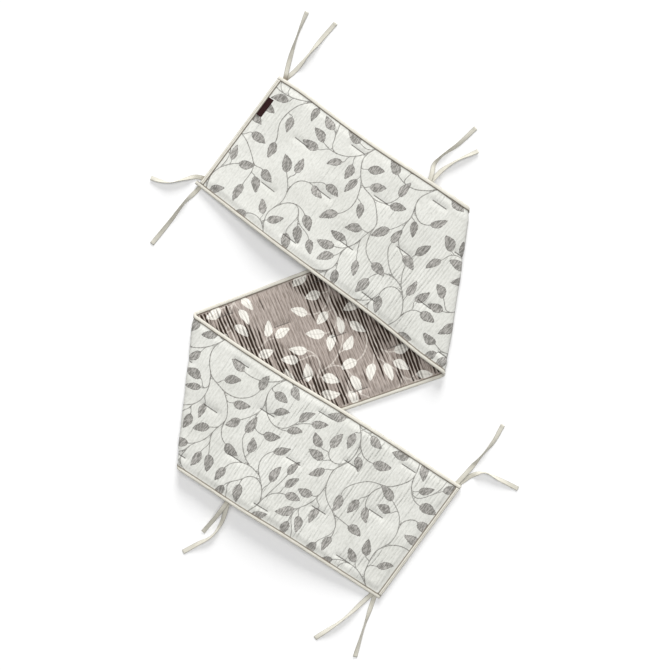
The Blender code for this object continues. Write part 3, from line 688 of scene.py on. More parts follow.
def gridFaces(rows, columns, flip=False, closed=False):
    # quads over rows x columns points; closed joins the last column to the first
    number = np.arange(rows * columns).reshape(rows, columns)
    right = np.roll(number, -1, axis=1) if closed else number[:, 1:]
    left = number if closed else number[:, :-1]
    quads = np.stack([left[:-1], right[:-1], right[1:], left[1:]], axis=-1).reshape(-1, 4)
    return quads[:, ::-1] if flip else quads


def place(piece, slot, *nodes):
    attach(piece, "root")
    if nodes:
        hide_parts(*nodes)


# materials


class Wire:
    # a socket that takes part in sums: each sign adds its Math node
    def __init__(self, look, socket):
        self.look = look
        self.socket = socket

    def __add__(self, other):
        return self.look.sum("ADD", self, other)

    def __radd__(self, other):
        return self.look.sum("ADD", other, self)

    def __sub__(self, other):
        return self.look.sum("SUBTRACT", self, other)

    def __rsub__(self, other):
        return self.look.sum("SUBTRACT", other, self)

    def __mul__(self, other):
        return self.look.sum("MULTIPLY", self, other)

    def __rmul__(self, other):
        return self.look.sum("MULTIPLY", other, self)

    def __abs__(self):
        return self.look.sum("ABSOLUTE", self, 0.0)


class Look:
    def __init__(self, name, roughness=0.9, sheen=0.0, specular=0.3):
        self.material = bpy.data.materials.new(name)
        self.material.use_nodes = True
        self.tree = self.material.node_tree
        self.shader = self.tree.nodes["Principled BSDF"]
        self.shader.inputs["Roughness"].default_value = roughness
        self.shader.inputs["Sheen Weight"].default_value = sheen
        self.shader.inputs["Specular IOR Level"].default_value = specular

    def node(self, kind, settings=None, values=None, out=0):
        made = self.tree.nodes.new(kind)
        for key, value in (settings or {}).items():
            setattr(made, key, value)
        for key, value in (values or {}).items():
            self.feed(made.inputs[key], value)
        return Wire(self, made.outputs[out])

    def feed(self, socket, value):
        if isinstance(value, Wire):
            self.tree.links.new(value.socket, socket)
        else:
            socket.default_value = value

    def sum(self, operation, first, second):
        return self.node("ShaderNodeMath", {"operation": operation}, {0: first, 1: second})

    def field(self, name):
        return self.node("ShaderNodeAttribute", {"attribute_name": name}, out=2)

    def flat(self):
        # the place on the flat cloth in metres, and its two parts: along and across
        place = self.node("ShaderNodeUVMap", {"uv_map": "flat"})
        parts = self.node("ShaderNodeSeparateXYZ", values={0: place})
        return place, parts, Wire(self, parts.socket.node.outputs[1])

    def ramp(self, value, low, high, bottom=0.0, top=1.0):
        # straight from bottom at low to top at high, level outside
        return self.node("ShaderNodeMapRange", {"clamp": True},
                         {0: value, 1: low, 2: high, 3: bottom, 4: top})

    def mix(self, first, second, share):
        return self.node("ShaderNodeMix", {"data_type": "RGBA"}, {0: share, 6: first, 7: second}, out=2)

    def darken(self, colour, share):
        # multiplies a colour by a grey value
        grey = self.node("ShaderNodeCombineXYZ", values={0: share, 1: share, 2: share})
        return self.node("ShaderNodeVectorMath", {"operation": "MULTIPLY"}, {0: colour, 1: grey})

    def stretch(self, place, along, across):
        return self.node("ShaderNodeVectorMath", {"operation": "MULTIPLY"},
                         {0: place, 1: (along, across, 1.0)})

    def noise(self, place, scale, detail=2.0, roughness=0.5):
        return self.node("ShaderNodeTexNoise", {"noise_dimensions": "2D"},
                         {"Vector": place, "Scale": scale, "Detail": detail, "Roughness": roughness})

    def sine(self, value):
        return self.node("ShaderNodeMath", {"operation": "SINE"}, {0: value})

    def bump(self, height, strength, distance):
        values = {"Strength": strength, "Distance": distance, "Height": height}
        normal = self.node("ShaderNodeBump", values=values)
        self.feed(self.shader.inputs["Normal"], normal)

    def colour(self, value):
        self.feed(self.shader.inputs["Base Color"], value)

    def rough(self, value):
        self.feed(self.shader.inputs["Roughness"], value)


def linear(red, green, blue):
    # from 0-255 screen values
    parts = []
    for value in (red, green, blue):
        value = value / 255
        parts.append(value / 12.92 if value <= 0.04045 else ((value + 0.055) / 1.055) ** 2.4)
    return (*parts, 1.0)


clothColours = {
    "white": linear(224, 224, 218),
    "whiteShade": linear(201, 201, 194),
    "ribValleyShade": linear(128, 128, 122),
    "greyLeaf": linear(184, 181, 176),
    "greyLeafDark": linear(128, 126, 121),
    "greyEdge": linear(96, 94, 90),
    "greyStem": linear(116, 113, 108),
    "taupe": linear(188, 177, 169),
    "taupeDark": linear(160, 148, 140),
    "foldShade": linear(140, 139, 133),
    "creaseShadeColour": linear(50, 38, 29),
    "ridgeHighlight": linear(208, 199, 189),
    "scratchAndShade": linear(120, 108, 98),
    "creamLeaf": linear(238, 235, 227),
    "creamShade": linear(222, 218, 208),
    "creamVein": linear(168, 160, 152),
    "creamStem": linear(218, 210, 201),
    "tackThreadAndShade": linear(84, 80, 76),
    "rimShadeAndDirt": linear(112, 98, 82),
}


def clothLook(name, side):
    c = clothColours
    look = Look(name, roughness=0.92, sheen=0.10, specular=0.2)
    place, along, _ = look.flat()
    wander = look.noise(look.stretch(place, 1.0, 0.25), 70.0)
    hatchWave = look.sine(along * (math.tau / (quilting["ribPitch"] / 2)) + wander * 4.0)
    threads = look.noise(look.stretch(place, 1.0, 0.10), 900.0, 1.0)
    weave = look.noise(look.stretch(place, 0.35, 1.0), 1500.0, 1.0)
    patches = look.noise(place, 9.0, 3.0)
    streaks = look.ramp(look.noise(look.stretch(place, 1.0, 0.22), 430.0, 1.0), 0.42, 0.58)
    crinkle = look.ramp(look.noise(look.stretch(place, 1.0, 0.35), 330.0, 3.0, 0.65), 0.40, 0.70)
    hatch = look.ramp(hatchWave * 0.8 + threads * 1.6 + streaks * 1.6, 0.4, 3.0)
    valley = look.field("valley")
    ragged = (look.noise(look.stretch(place, 1.0, 0.5), 420.0, 1.0) - 0.5) * 2.6
    outline = look.field("leaf") + ragged
    leaf = look.ramp(outline, 0.30, -0.30)
    edge = look.ramp(abs(outline + 0.6), 0.9, 0.2)
    vein = look.ramp(abs(look.field("vein")), 0.8, 0.25) * leaf
    bands = []
    for line in ("stem", "twig"):
        inLine = look.ramp(abs(look.field(line)), 1.2, 0.7)
        bands.append(inLine * look.ramp(look.field(line + "Near"), 3.0, 2.3))
    stem = look.sum("MAXIMUM", bands[0], bands[1])
    # a stem is a little broken where threads and ribs cross it
    beads = look.ramp(valley, 0.3, 0.95, 1.0, 0.8) * look.ramp(crinkle, 0.2, 0.8, 0.72, 1.0)
    if side > 0:
        ground = look.mix(c["white"], c["whiteShade"], look.ramp(patches, 0.35, 0.7) * 0.35 + crinkle * 0.7)
        fill = look.mix(c["greyLeaf"], c["greyLeafDark"], streaks * 0.9 + look.field("tone") * 0.3)
        fill = look.mix(fill, c["greyEdge"], edge * 0.55)
        fill = look.mix(fill, c["greyEdge"], vein * 0.30)
        line = look.mix(c["greyStem"], c["greyEdge"], hatch * 0.5)
        dashes = look.ramp(look.noise(look.stretch(place, 0.7, 0.45), 640.0, 1.0), 0.38, 0.60)
        # painted shade in the rib valleys, in broken dashes
        creaseShade = look.ramp(valley, 0.45, 1.0) * look.field("valleyShade") * (dashes * 0.9 + 0.35)
        shade = look.mix(ground, line, stem * beads)
        shade = look.mix(shade, fill, leaf)
        shade = look.mix(shade, c["ribValleyShade"], creaseShade)
        # painted shade along the outermost line of each fold, where it turns down
        shade = look.mix(shade, c["foldShade"], look.ramp(look.field("turn"), 0.78, 0.98) * 0.6)
    else:
        ground = look.mix(c["taupe"], c["taupeDark"], look.ramp(patches, 0.35, 0.7) * 0.35 + hatch * 0.65)
        fill = look.mix(c["creamLeaf"], c["creamShade"], hatch * 0.15 + look.field("tone") * 0.25)
        fill = look.mix(fill, c["creamVein"], vein * 0.55)
        line = look.mix(c["creamStem"], c["taupe"], hatch * 0.15)
        valleyShade = look.field("valleyShade")
        scratches = look.noise(look.stretch(place, 1.0, 0.10), 420.0, 2.0)
        # painted shade in the creases between the ribs, deepest beside the panels that lie on this one
        creaseShade = look.ramp(valley + valleyShade * 0.50 + (scratches - 0.5) * 1.1, 0.62, 1.02)
        creaseShade = creaseShade * look.ramp(valleyShade, 0.04, 0.58)
        fine = look.ramp(scratches, 0.53, 0.65) * look.ramp(valleyShade, 0.0, 0.5, 0.50, 0.9)
        # painted highlight on the rib tops between the shaded creases
        ridgeHighlight = look.ramp(valley, 0.35, 0.0) * look.ramp(valleyShade, 0.35, 0.8)
        # fine scratch lines, and painted shade over the ground beside the panels that lie on it
        ground = look.mix(ground, c["scratchAndShade"], look.sum("MAXIMUM", fine, look.ramp(valleyShade, 0.45, 1.0) * 0.35))
        ground = look.mix(ground, c["ridgeHighlight"], ridgeHighlight * 0.85)
        shade = look.mix(ground, line, stem * beads)
        shade = look.mix(shade, c["creaseShadeColour"], creaseShade)
        shade = look.mix(shade, fill, leaf * (1 - creaseShade * 0.25))
        shade = look.mix(shade, c["creaseShadeColour"], look.ramp(creaseShade, 0.6, 1.0) * leaf * 0.40)
    # a dark line along each tack: its thread's colour and painted shade in the groove it pinches
    seam = look.ramp(abs(look.field("tackAcross")), 1.5, 0.8) * look.ramp(look.field("tackPast"), 1.5, 0.2)
    shade = look.mix(shade, c["tackThreadAndShade"], seam * (0.75 if side > 0 else 0.5))
    # a dark band on the cloth beside the tapes: painted shade where the tape meets it, and dirt
    shade = look.mix(shade, c["rimShadeAndDirt"], look.ramp(look.field("rim"), 1.5, 0.5) * 0.75)
    look.colour(shade)
    look.rough(look.ramp(weave, 0.3, 0.7, 0.84, 0.98))
    relief = hatchWave * 0.25 + threads * 0.6 + weave * 0.5 - stem * 0.3 + leaf * 0.35
    look.bump(relief, 0.35, 0.0005)
    return look.material


# sizes and colours of the tapes, which the cloths end at

tapes = {
    "face": 0.0080,             # width that shows on each side
    "endFace": 0.0090,
    "wall": 0.0012,
    "slot": 0.0015,             # half the room for the pad's edge
    "tab": 0.0080,
    "step": 0.0030,
    "endCuts": 93,
    "seamIn": 0.0014,           # the stitch line, in from the tape's inner edge
    "seamDepth": 0.00035,
    "pucker": 0.00016,
    "swing": 0.00035,           # how far a long tape's inner edge strays
    "clearance": 0.0003,        # between an end tape and the long ones
    "colour": linear(224, 221, 210),
    "shade": linear(206, 202, 190),
    "innerEdge": linear(94, 85, 72),
    "outerTurnShade": linear(158, 149, 134),
    "endLineAt": 4.0,           # mm in from the outer edge, where the end binding is sewn down
}

# the two cloths of the pad


bakeRoom = {"share": 0.985, "past": 0.020, "left": 0.008, "below": 0.006, "between": 0.014}


def bakeMap(s, t, upper):
    # the strip's two halves side by side in the unit square, for a bake
    half = length / 2
    scale = bakeRoom["share"] / (half + bakeRoom["past"])
    above = np.where(upper, width + bakeRoom["between"], 0.0)
    return np.stack([np.where(upper, s - half, s) + bakeRoom["left"],
                     t + bakeRoom["below"] + above], axis=-1) * scale


def foldTurn(s, t):
    # 1 along the outermost line of a fold, 0 where the strip lies flat
    row = rowNumber(s, t)
    turn = np.zeros(row.shape)
    for (begin, end), most in zip(laid["foldSpans"], (1.0, 0.93)):
        turn = np.maximum(turn, most * np.sin(math.pi * np.clip((row - begin) / (end - begin), 0.0, 1.0)))
    return turn


def buildCloth(name, side, fine, rowStep, seed, shift):
    columns, valleys = clothColumns(fine)
    rows = clothRows(rowStep)
    evenS, t = np.meshgrid(columns, rows, indexing="ij")
    valley = np.repeat(valleys[:, None], len(rows), axis=1)
    s = evenS + ribWander(evenS, t)
    points = aboveFloor(onStrip(s, t, side * clothHeight(s, t, side, valley)))
    grown = Scroll(seed, side < 0, shift)
    sMm, tMm = columns * 1000, rows * 1000
    outline, vein, tone = leafFields(sMm, tMm, grown.leaves)
    stem, stemNear = bandField(sMm, tMm, grown.stems, scroll["stemHalf"][side], scroll["stemTaper"])
    twig, twigNear = bandField(sMm, tMm, grown.twigs, scroll["twigHalf"][side], scroll["twigTaper"])
    fromTape = np.minimum(np.minimum(t, width - t) - tapes["face"],
                          np.minimum(s, length - s) - tapes["endFace"])
    tackAcross, tackPast = nearTacks(s, t)[1:]
    fields = {
        # valleyShade: the painted shade in each rib valley, faded out towards the tapes
        "valley": valley, "valleyShade": valleyShadeShare(evenS, t, side) * easeStep((fromTape - 0.001) / 0.004),
        "leaf": outline, "vein": vein, "tone": tone, "rim": np.clip(fromTape * 1000, 0.0, far),
        "stem": stem, "stemNear": stemNear, "twig": twig, "twigNear": twigNear,
        "tackAcross": tackAcross, "tackPast": tackPast, "turn": foldTurn(s, t),
    }
    faces = gridFaces(len(columns), len(rows), flip=side > 0)
    flat = np.stack([s, t], axis=-1).reshape(-1, 2)
    corners = flat[faces.ravel()]
    upper = np.repeat(s.ravel()[faces].mean(axis=1) > length / 2, 4)
    print("%s: %d leaves, %d quads" % (name, len(grown.leaves), len(faces)))
    uvs = {"flat": flat, "OFBake": bakeMap(corners[:, 0], corners[:, 1], upper)}
    return addMesh(name, points, faces, clothLook(name + "Look", side), uvs, fields)


whiteCloth = buildCloth("whiteCloth", 1, ((0.0, 0.745), (1.125, 1.90)), 0.0029, 7, -60.0)
taupeCloth = buildCloth("taupeCloth", -1, ((0.495, 1.370),), 0.0023, 19, -100.0)
for cloth in (whiteCloth, taupeCloth):
    place(cloth, "cloth", "quilted_pad")

# tapes along the edges


def sweep(name, rings, look, uvAcross, uvAlong, fields=None):
    # rings: cuts x points of a closed outline
    cuts, count = rings.shape[:2]
    faces = gridFaces(cuts, count, closed=True)
    across = np.append(uvAcross, uvAcross[0])
    number = np.arange(cuts * count).reshape(cuts, count)
    u = np.empty((len(faces), 4, 2))
    cut, corner = np.divmod(np.arange((cuts - 1) * count), count)
    for k, (further, beside) in enumerate(((0, 0), (0, 1), (1, 1), (1, 0))):
        u[:, k, 0] = uvAlong[cut + further]
        u[:, k, 1] = across[corner + beside]
    piece = addMesh(name, rings, faces, look, {"flat": u.reshape(-1, 2)}, fields)
    capEnds(piece, number[0], number[-1])
    return piece


def capEnds(piece, firstRing, lastRing):
    work = bmesh.new()
    work.from_mesh(piece.data)
    work.verts.ensure_lookup_table()
    for ring in (firstRing, lastRing):
        face = work.faces.new([work.verts[int(k)] for k in ring])
        face.smooth = False
    bmesh.ops.recalc_face_normals(work, faces=work.faces)
    bmesh.ops.triangulate(work, faces=[face for face in work.faces if len(face.verts) > 4])
    work.to_mesh(piece.data)
    work.free()


def tapeLook(name, sewnLine):
    look = Look(name, roughness=0.85, sheen=0.08, specular=0.25)
    place, along, across = look.flat()
    twill = look.sine((along + across) * (math.tau / 0.0011))
    slub = look.noise(look.stretch(place, 0.15, 1.0), 700.0, 2.0)
    patches = look.noise(place, 25.0, 2.0)
    uneven = look.ramp(patches, 0.3, 0.7) * 0.45 + look.ramp(slub, 0.4, 0.8) * 0.4
    shade = look.mix(tapes["colour"], tapes["shade"], uneven)
    outer = look.field("outer")
    # a dark line along the tape's inner edge: painted shade where it meets the cloth, and dirt
    shade = look.mix(shade, tapes["innerEdge"], look.ramp(look.field("inner"), 1.9, 0.7) * 0.85)
    # painted shade on the tape's outermost turn, where it rounds away from the light
    shade = look.mix(shade, tapes["outerTurnShade"], look.ramp(outer, 1.5, 0.3) * (0.7 if sewnLine else 0.25))
    if sewnLine:
        nearLine = look.ramp(abs(outer - tapes["endLineAt"]), 0.9, 0.3)
        shade = look.mix(shade, tapes["innerEdge"], nearLine * 0.45)
    look.colour(shade)
    look.rough(look.ramp(slub, 0.3, 0.7, 0.78, 0.92))
    look.bump(twill * 0.5 + slub, 0.3, 0.0004)
    return look.material


def tapeOutline(face, wall, slot):
    # distance in from the strip's edge, and height over the middle layer, round the folded tape's cut
    top = slot + wall
    seam = face - tapes["seamIn"]
    outer = [
        (face, top - 0.35 * wall), (face - 0.0003, top - 0.08 * wall), (seam + 0.0006, top),
        (seam, top - tapes["seamDepth"]), (seam - 0.0008, top + 0.00004), (face * 0.62, top + 0.00012),
        (face * 0.38, top + 0.00012), (0.0026, top), (0.0012, top * 0.86), (0.0004, top * 0.55), (0.0, 0.0),
    ]
    inner = [(wall, 0.0), (wall * 1.3, -slot * 0.8), (face * 0.5, -slot), (face, -slot)]
    under = [(d, -h) for d, h in reversed(outer[:-1])]
    return outer + under + [(d, h) for d, h in reversed(inner)] + [(d, -h) for d, h in inner[1:]]


longTapeMaterial = tapeLook("longTapeLook", False)
endTapeMaterial = tapeLook("endTapeLook", True)


def sweepTape(name, node, rings, look, outline, face, along):
    # its fields are mm from the tape's inner edge and from its outer one
    inner, outer = (face - outline[:, 0]) * 1000, outline[:, 0] * 1000
    fields = {"inner": np.tile(inner, len(along)), "outer": np.tile(outer, len(along))}
    piece = sweep(name, aboveFloor(rings), look, lengthAlong(outline), along, fields)
    place(piece, "tape", node)
    return piece


def puckered(h, ripple):
    # heights of a tape's cut, with the ripple that its seam draws into it
    full = easeStep((abs(h) - tapes["slot"]) / tapes["wall"])
    return h + np.sign(h) * tapes["pucker"] * ripple * full


def buildLongTape(name, node, edge, inwards, tab):
    outline = np.array(tapeOutline(tapes["face"], tapes["wall"], tapes["slot"]))
    along = np.arange(-tab, length + 1e-6, tapes["step"])
    along = np.append(along[:-1], length)
    d, h = outline[:, 0][None], outline[:, 1][None]
    s = along[:, None]
    ripple = softNoise(s, d * 0 + edge, 0.010, 1.0, 61) * 0.7
    ripple = ripple + softNoise(s, d * 0 + edge, 0.033, 1.0, 62) * 0.8
    swing = tapes["swing"] * softNoise(s, edge, 0.16, 1.0, 63)
    t = edge + inwards * (d + swing * (d > 0.9 * tapes["face"]) + tapes["pucker"] * ripple * 0.6)
    rings = onStrip(s, t, puckered(h, ripple))
    piece = sweepTape(name, node, rings, longTapeMaterial, outline, tapes["face"], along)
    round(length + tab, 3)


def buildEndTape(name, node, atStart):
    outline = np.array(tapeOutline(tapes["endFace"], tapes["wall"], tapes["slot"]))
    inner = tapes["face"] + tapes["clearance"]
    t = np.linspace(inner, width - inner, tapes["endCuts"])[:, None]
    d, h = outline[:, 0][None], outline[:, 1][None]
    s = (d if atStart else length - d) + t * 0
    rings = onStrip(s, t, puckered(h, softNoise(t, d * 0, 0.012, 1.0, 71 + atStart)))
    piece = sweepTape(name, node, rings, endTapeMaterial, outline, tapes["endFace"], t[:, 0])


buildLongTape("upperTape", "tape_upper_edge", 0.0, 1.0, 0.0)
buildLongTape("lowerTape", "tape_lower_edge", width, -1.0, tapes["tab"])
buildEndTape("topEndTape", "tape_top_end", True)
buildEndTape("bottomEndTape", "tape_bottom_end", False)
print("tapes made")

# ties: a tape doubled under the edge, both ends free

ties = {
    "width": 0.0100,
    "thickness": 0.0008,
    "step": 0.0024,
    "lift": 0.0001,
    "turnReach": 0.004,
    "hem": 0.0070,              # turned-in end
    "hemRise": 0.0005,
    "lowest": 0.00005,          # over the floor
    "turnCuts": 9,              # where it is doubled
    # its cut: places across in half-widths, and how thick it is there
    "across": np.array([-1.0, -0.94, -0.6, -0.2, 0.2, 0.6, 0.94, 1.0]),
    "fullness": np.array([0.25, 0.8, 1.0, 1.0, 1.0, 1.0, 0.8, 0.25]),
    "cup": 0.00045,
    "colour": linear(216, 213, 201),
    "shade": linear(188, 184, 170),
    "tieRimShade": linear(124, 119, 106),
    "tieRootShade": linear(112, 98, 80),
}
# x, y, height over the floor, roll in degrees, from the edge outwards
tieRoutes = {
    "tie_top_corner": (
        ((-0.1112, 0.5760, 0.0019, 0), (-0.1045, 0.6060, 0.0019, 0), (-0.0840, 0.6720, 0.0010, 70),
         (-0.0620, 0.7280, 0.0010, 20)),
        ((-0.1112, 0.5760, 0.0006, 0), (-0.0900, 0.5940, 0.0006, 0), (-0.0570, 0.6330, 0.0010, -60),
         (-0.0330, 0.6620, 0.0010, -15), (0.0030, 0.7030, 0.0006, 0))),
    "tie_left_corner": (
        ((-0.2880, 0.3520, 0.0019, 0), (-0.3110, 0.3570, 0.0019, 0), (-0.3360, 0.3520, 0.0010, 50),
         (-0.3720, 0.3440, 0.0010, 78), (-0.3930, 0.3480, 0.0010, 40), (-0.4130, 0.3545, 0.0008, 15)),
        ((-0.2880, 0.3520, 0.0006, 0), (-0.3100, 0.3260, 0.0006, 0), (-0.3360, 0.3000, 0.0006, -55),
         (-0.3660, 0.2610, 0.0010, -35), (-0.4110, 0.2060, 0.0006, 0))),
    "tie_upper_edge": (
        ((0.2095, 0.3375, 0.0146, 0), (0.2180, 0.3600, 0.0146, 0), (0.2230, 0.3830, 0.0085, 25),
         (0.2400, 0.4020, 0.0015, 60), (0.2760, 0.4280, 0.0010, 30), (0.3180, 0.4670, 0.0006, 0)),
        ((0.2095, 0.3375, 0.0132, 0), (0.2230, 0.3520, 0.0126, 0), (0.2400, 0.3700, 0.0065, -20),
         (0.2690, 0.3900, 0.0010, -60), (0.3230, 0.4150, 0.0008, -20))),
    "tie_right_corner": (
        ((0.2610, -0.3475, 0.0019, 0), (0.2880, -0.3190, 0.0026, 0), (0.3060, -0.2990, 0.0028, 0),
         (0.3290, -0.2730, 0.0010, 60), (0.3590, -0.2370, 0.0010, 25), (0.3790, -0.2010, 0.0006, 0)),
        ((0.2610, -0.3475, 0.0006, 0), (0.2870, -0.3290, 0.0006, 0), (0.3090, -0.3150, 0.0006, 0),
         (0.3340, -0.3080, 0.0010, -75), (0.3700, -0.3230, 0.0010, -40), (0.4130, -0.3450, 0.0006, 0))),
    "tie_bottom_corner": (
        ((0.0950, -0.5720, 0.0019, 0), (0.0740, -0.5900, 0.0019, 0), (0.0190, -0.6380, 0.0010, 65),
         (-0.0440, -0.6810, 0.0006, 0)),
        ((0.0950, -0.5720, 0.0006, 0), (0.0850, -0.6010, 0.0006, 0), (0.0690, -0.6480, 0.0006, -60),
         (0.0460, -0.7230, 0.0006, -10))),
    "tie_lower_edge": (
        ((-0.2350, -0.3645, 0.0230, 0), (-0.2450, -0.3800, 0.0230, 0), (-0.2620, -0.4020, 0.0150, -20),
         (-0.2960, -0.4420, 0.0010, -20)),
        ((-0.2350, -0.3645, 0.0216, 0), (-0.2410, -0.3830, 0.0200, 0), (-0.2560, -0.4240, 0.0050, 40),
         (-0.2760, -0.4510, 0.0010, 65), (-0.3070, -0.4680, 0.0010, 30), (-0.3410, -0.4870, 0.0006, 0))),
}


def looseEnd(route):
    knots = np.array([row[:3] for row in route]) - np.array([*strip["middle"], 0.0])
    rolls = np.radians([row[3] for row in route])
    along = lengthAlong(knots)
    at = np.linspace(0.0, along[-1], int(along[-1] / ties["step"]) + 1)
    places, rolls = smoothCurve(along, knots, at), smoothCurve(along, rolls, at)
    half = abs(np.sin(rolls)) * ties["width"] / 2 + abs(np.cos(rolls)) * ties["thickness"] / 2
    places[:, 2] = np.maximum(places[:, 2], half + ties["lift"])
    return places, rolls, at


def tieCut(centre, side, top, thick, cup):
    # closed outline of the flat tape's cut, slightly cupped across
    x = ties["across"]
    rise = cup * (1 - x * x)
    halfThick = ties["fullness"] * thick / 2
    wide = x[:, None] * side * ties["width"] / 2
    upper = centre + wide + top * (rise + halfThick)[:, None]
    lower = centre + wide + top * (rise - halfThick)[:, None]
    return np.vstack([upper, lower[::-1]])


def cutsOfEnd(places, rolls, at, cupSign):
    headings = unit(np.gradient(places, axis=0))
    cuts = []
    for here, heading, roll, reach in zip(places, headings, rolls, at):
        level = unit(np.cross([0.0, 0.0, 1.0], heading))
        upright = unit(np.cross(heading, level))
        side = level * math.cos(roll) + upright * math.sin(roll)
        top = unit(np.cross(heading, side))
        free = float(easeStep((reach - 0.010) / 0.03))
        left = at[-1] - reach
        hem = ties["hemRise"] * (left < ties["hem"]) * min(1.0, left / 0.0005 + 0.4)
        cup = cupSign * ties["cup"] * free * math.sin(reach * 55)
        cuts.append(tieCut(here + top * hem / 2, side, top, ties["thickness"] + hem, cup))
    return cuts, headings


def buildTie(node, over, under):
    overPlaces, overRolls, overAt = looseEnd(over)
    underPlaces, underRolls, underAt = looseEnd(under)
    cuts, headings = cutsOfEnd(overPlaces, overRolls, overAt, 1.0)
    underCuts, underHeadings = cutsOfEnd(underPlaces, underRolls, underAt, -1.0)
    rings = cuts[::-1]
    turnHeading = unit((headings[0] + underHeadings[0]) * np.array([1.0, 1.0, 0.0]))
    side = np.cross([0.0, 0.0, 1.0], turnHeading)
    middle = (overPlaces[0] + underPlaces[0]) / 2
    gap = (overPlaces[0][2] - underPlaces[0][2]) / 2
    for theta in np.linspace(0.0, math.pi, ties["turnCuts"]):
        lean = np.array([0.0, 0.0, math.cos(theta)]) - turnHeading * math.sin(theta)
        rings.append(tieCut(middle - turnHeading * ties["turnReach"] + gap * lean, side, lean,
                            ties["thickness"], 0.0))
    for cut in underCuts:
        upper, lower = np.split(cut, 2)
        rings.append(np.vstack([lower[::-1], upper[::-1]]))
    rings = aboveFloor(np.array(rings), ties["lowest"])
    along = lengthAlong(rings.mean(axis=1))
    words = node.split("_")
    name = words[1] + words[2].capitalize() + "Tie"
    turn = along[len(overPlaces) + ties["turnCuts"] // 2]
    fromRim = (1 - abs(ties["across"])) * ties["width"] / 2 * 1000
    piece = sweep(name, rings, tieMaterial, lengthAlong(rings[0]), along,
                  {"fromRoot": np.repeat(abs(along - turn) * 1000, rings.shape[1]),
                   "fromRim": np.tile(fromRim, 2 * len(rings))})
    place(piece, "tape", node)
    print("%s %.3f m long" % (name, along[-1]))


def tieLook():
    look = Look("tieLook", roughness=0.82, sheen=0.12, specular=0.25)
    place, along, across = look.flat()
    twill = look.sine((along + across * 1.4) * (math.tau / 0.0013))
    slub = look.noise(look.stretch(place, 0.2, 1.0), 800.0, 2.0)
    patches = look.noise(place, 30.0, 2.0)
    uneven = look.ramp(patches, 0.3, 0.7) * 0.5 + look.ramp(slub, 0.4, 0.8) * 0.35
    shade = look.mix(ties["colour"], ties["shade"], uneven)
    # painted shade round the doubled root, where the tie goes under the pad's edge
    shade = look.mix(shade, ties["tieRootShade"], look.ramp(look.field("fromRoot"), 20.0, 8.0) * 0.75)
    # painted shade along the tie's thin edges
    shade = look.mix(shade, ties["tieRimShade"], look.ramp(look.field("fromRim"), 1.2, 0.3) * 0.75)
    look.colour(shade)
    look.rough(look.ramp(slub, 0.3, 0.7, 0.76, 0.90))
    look.bump(twill * 0.6 + slub * 0.8, 0.35, 0.0004)
    return look.material


tieMaterial = tieLook()
for node, (over, under) in tieRoutes.items():
    buildTie(node, over, under)
print("ties made")

# threads: tacks through the pad and the seams that hold the tapes

threads = {
    "tackStitch": 0.0032,
    "tackGap": 0.0043,
    "tackRadius": 0.00042,
    "seamStitch": 0.0023,
    "seamGap": 0.0031,
    "seamRadius": 0.00022,
    "tackColour": linear(96, 92, 88),
    "seamColour": linear(168, 156, 138),
    # one stitch: shares of its length, its thickness there and its height in radii
    "shares": (0.0, 0.16, 0.5, 0.84, 1.0),
    "fullness": (0.25, 0.85, 1.0, 0.85, 0.25),
    "rises": (-0.9, 0.35, 0.75, 0.35, -0.9),
    "sides": 6,
    "flat": (0.003, 0.0003, 0.004),     # its length, a side and the next stitch on the flat map
}


def stitchLook(name, colour):
    look = Look(name, roughness=0.6, sheen=0.1, specular=0.4)
    _, along, across = look.flat()
    ply = look.sine((along + across * 0.4) * (math.tau / 0.0005))
    shade = look.darken(colour[:3], look.ramp(ply, -1.0, 1.0, 0.82, 1.0))
    look.colour(shade)
    look.bump(ply, 0.3, 0.0001)
    return look.material


def stitchMesh(name, ends, radius, ups, look):
    # one small rounded stitch for each pair of ends, dipping into the cloth at both
    begin, end = ends[:, 0], ends[:, 1]
    heading = unit(end - begin)
    side = unit(np.cross(ups, heading))
    top = np.cross(heading, side)
    shares, sides = np.array(threads["shares"]), threads["sides"]
    angles = [math.tau * k / sides for k in range(sides)]
    rings = []
    for share, size, up in zip(shares, threads["fullness"], threads["rises"]):
        centre = begin + (end - begin) * share + top * radius * up
        ring = [centre + radius * size * (side * math.cos(a) + top * math.sin(a)) for a in angles]
        rings.append(np.stack(ring, axis=1))
    points = aboveFloor(np.stack(rings, axis=1))        # stitches x rings x sides x 3
    last = (len(shares) - 1) * sides
    caps = [[0, 1, 2, 3], [0, 3, 4, 5], [last, last + 5, last + 4, last + 3],
            [last, last + 3, last + 2, last + 1]]
    stitch = np.arange(len(ends))[:, None, None]
    faces = [(np.array(part)[None] + (last + sides) * stitch).reshape(-1, 4)
             for part in (gridFaces(len(shares), sides, closed=True), caps)]
    long, beside, pitch = threads["flat"]
    flat = np.zeros((len(ends), len(shares), sides, 2))
    flat[..., 0] = shares[None, :, None] * long + pitch * stitch
    flat[..., 1] = np.arange(sides)[None, None] * beside
    return addMesh(name, points, np.vstack(faces), look, {"flat": flat.reshape(-1, 2)})


def normalsAt(s, t, side):
    return unit(onStrip(s, t, side * 0.01) - onStrip(s, t, 0.0))


def buildTacks(name, side, look):
    count = int(quilting["tackLength"] / threads["tackGap"])
    ends, ups = [], []
    for tackS, tackT in tacks:
        for k in range(count):
            s = tackS - quilting["tackLength"] / 2 + (k + 0.5) * quilting["tackLength"] / count
            both = np.array([s - threads["tackStitch"] / 2, s + threads["tackStitch"] / 2])
            acrossBoth = np.full(2, tackT)
            height = clothHeight(both, acrossBoth, side, np.full(2, 0.35))
            ends.append(onStrip(both, acrossBoth, side * (height + 0.0001)))
            ups.append(normalsAt(np.array([s]), np.array([tackT]), side)[0])
    place(stitchMesh(name, np.array(ends), threads["tackRadius"], np.array(ups), look), "cloth")


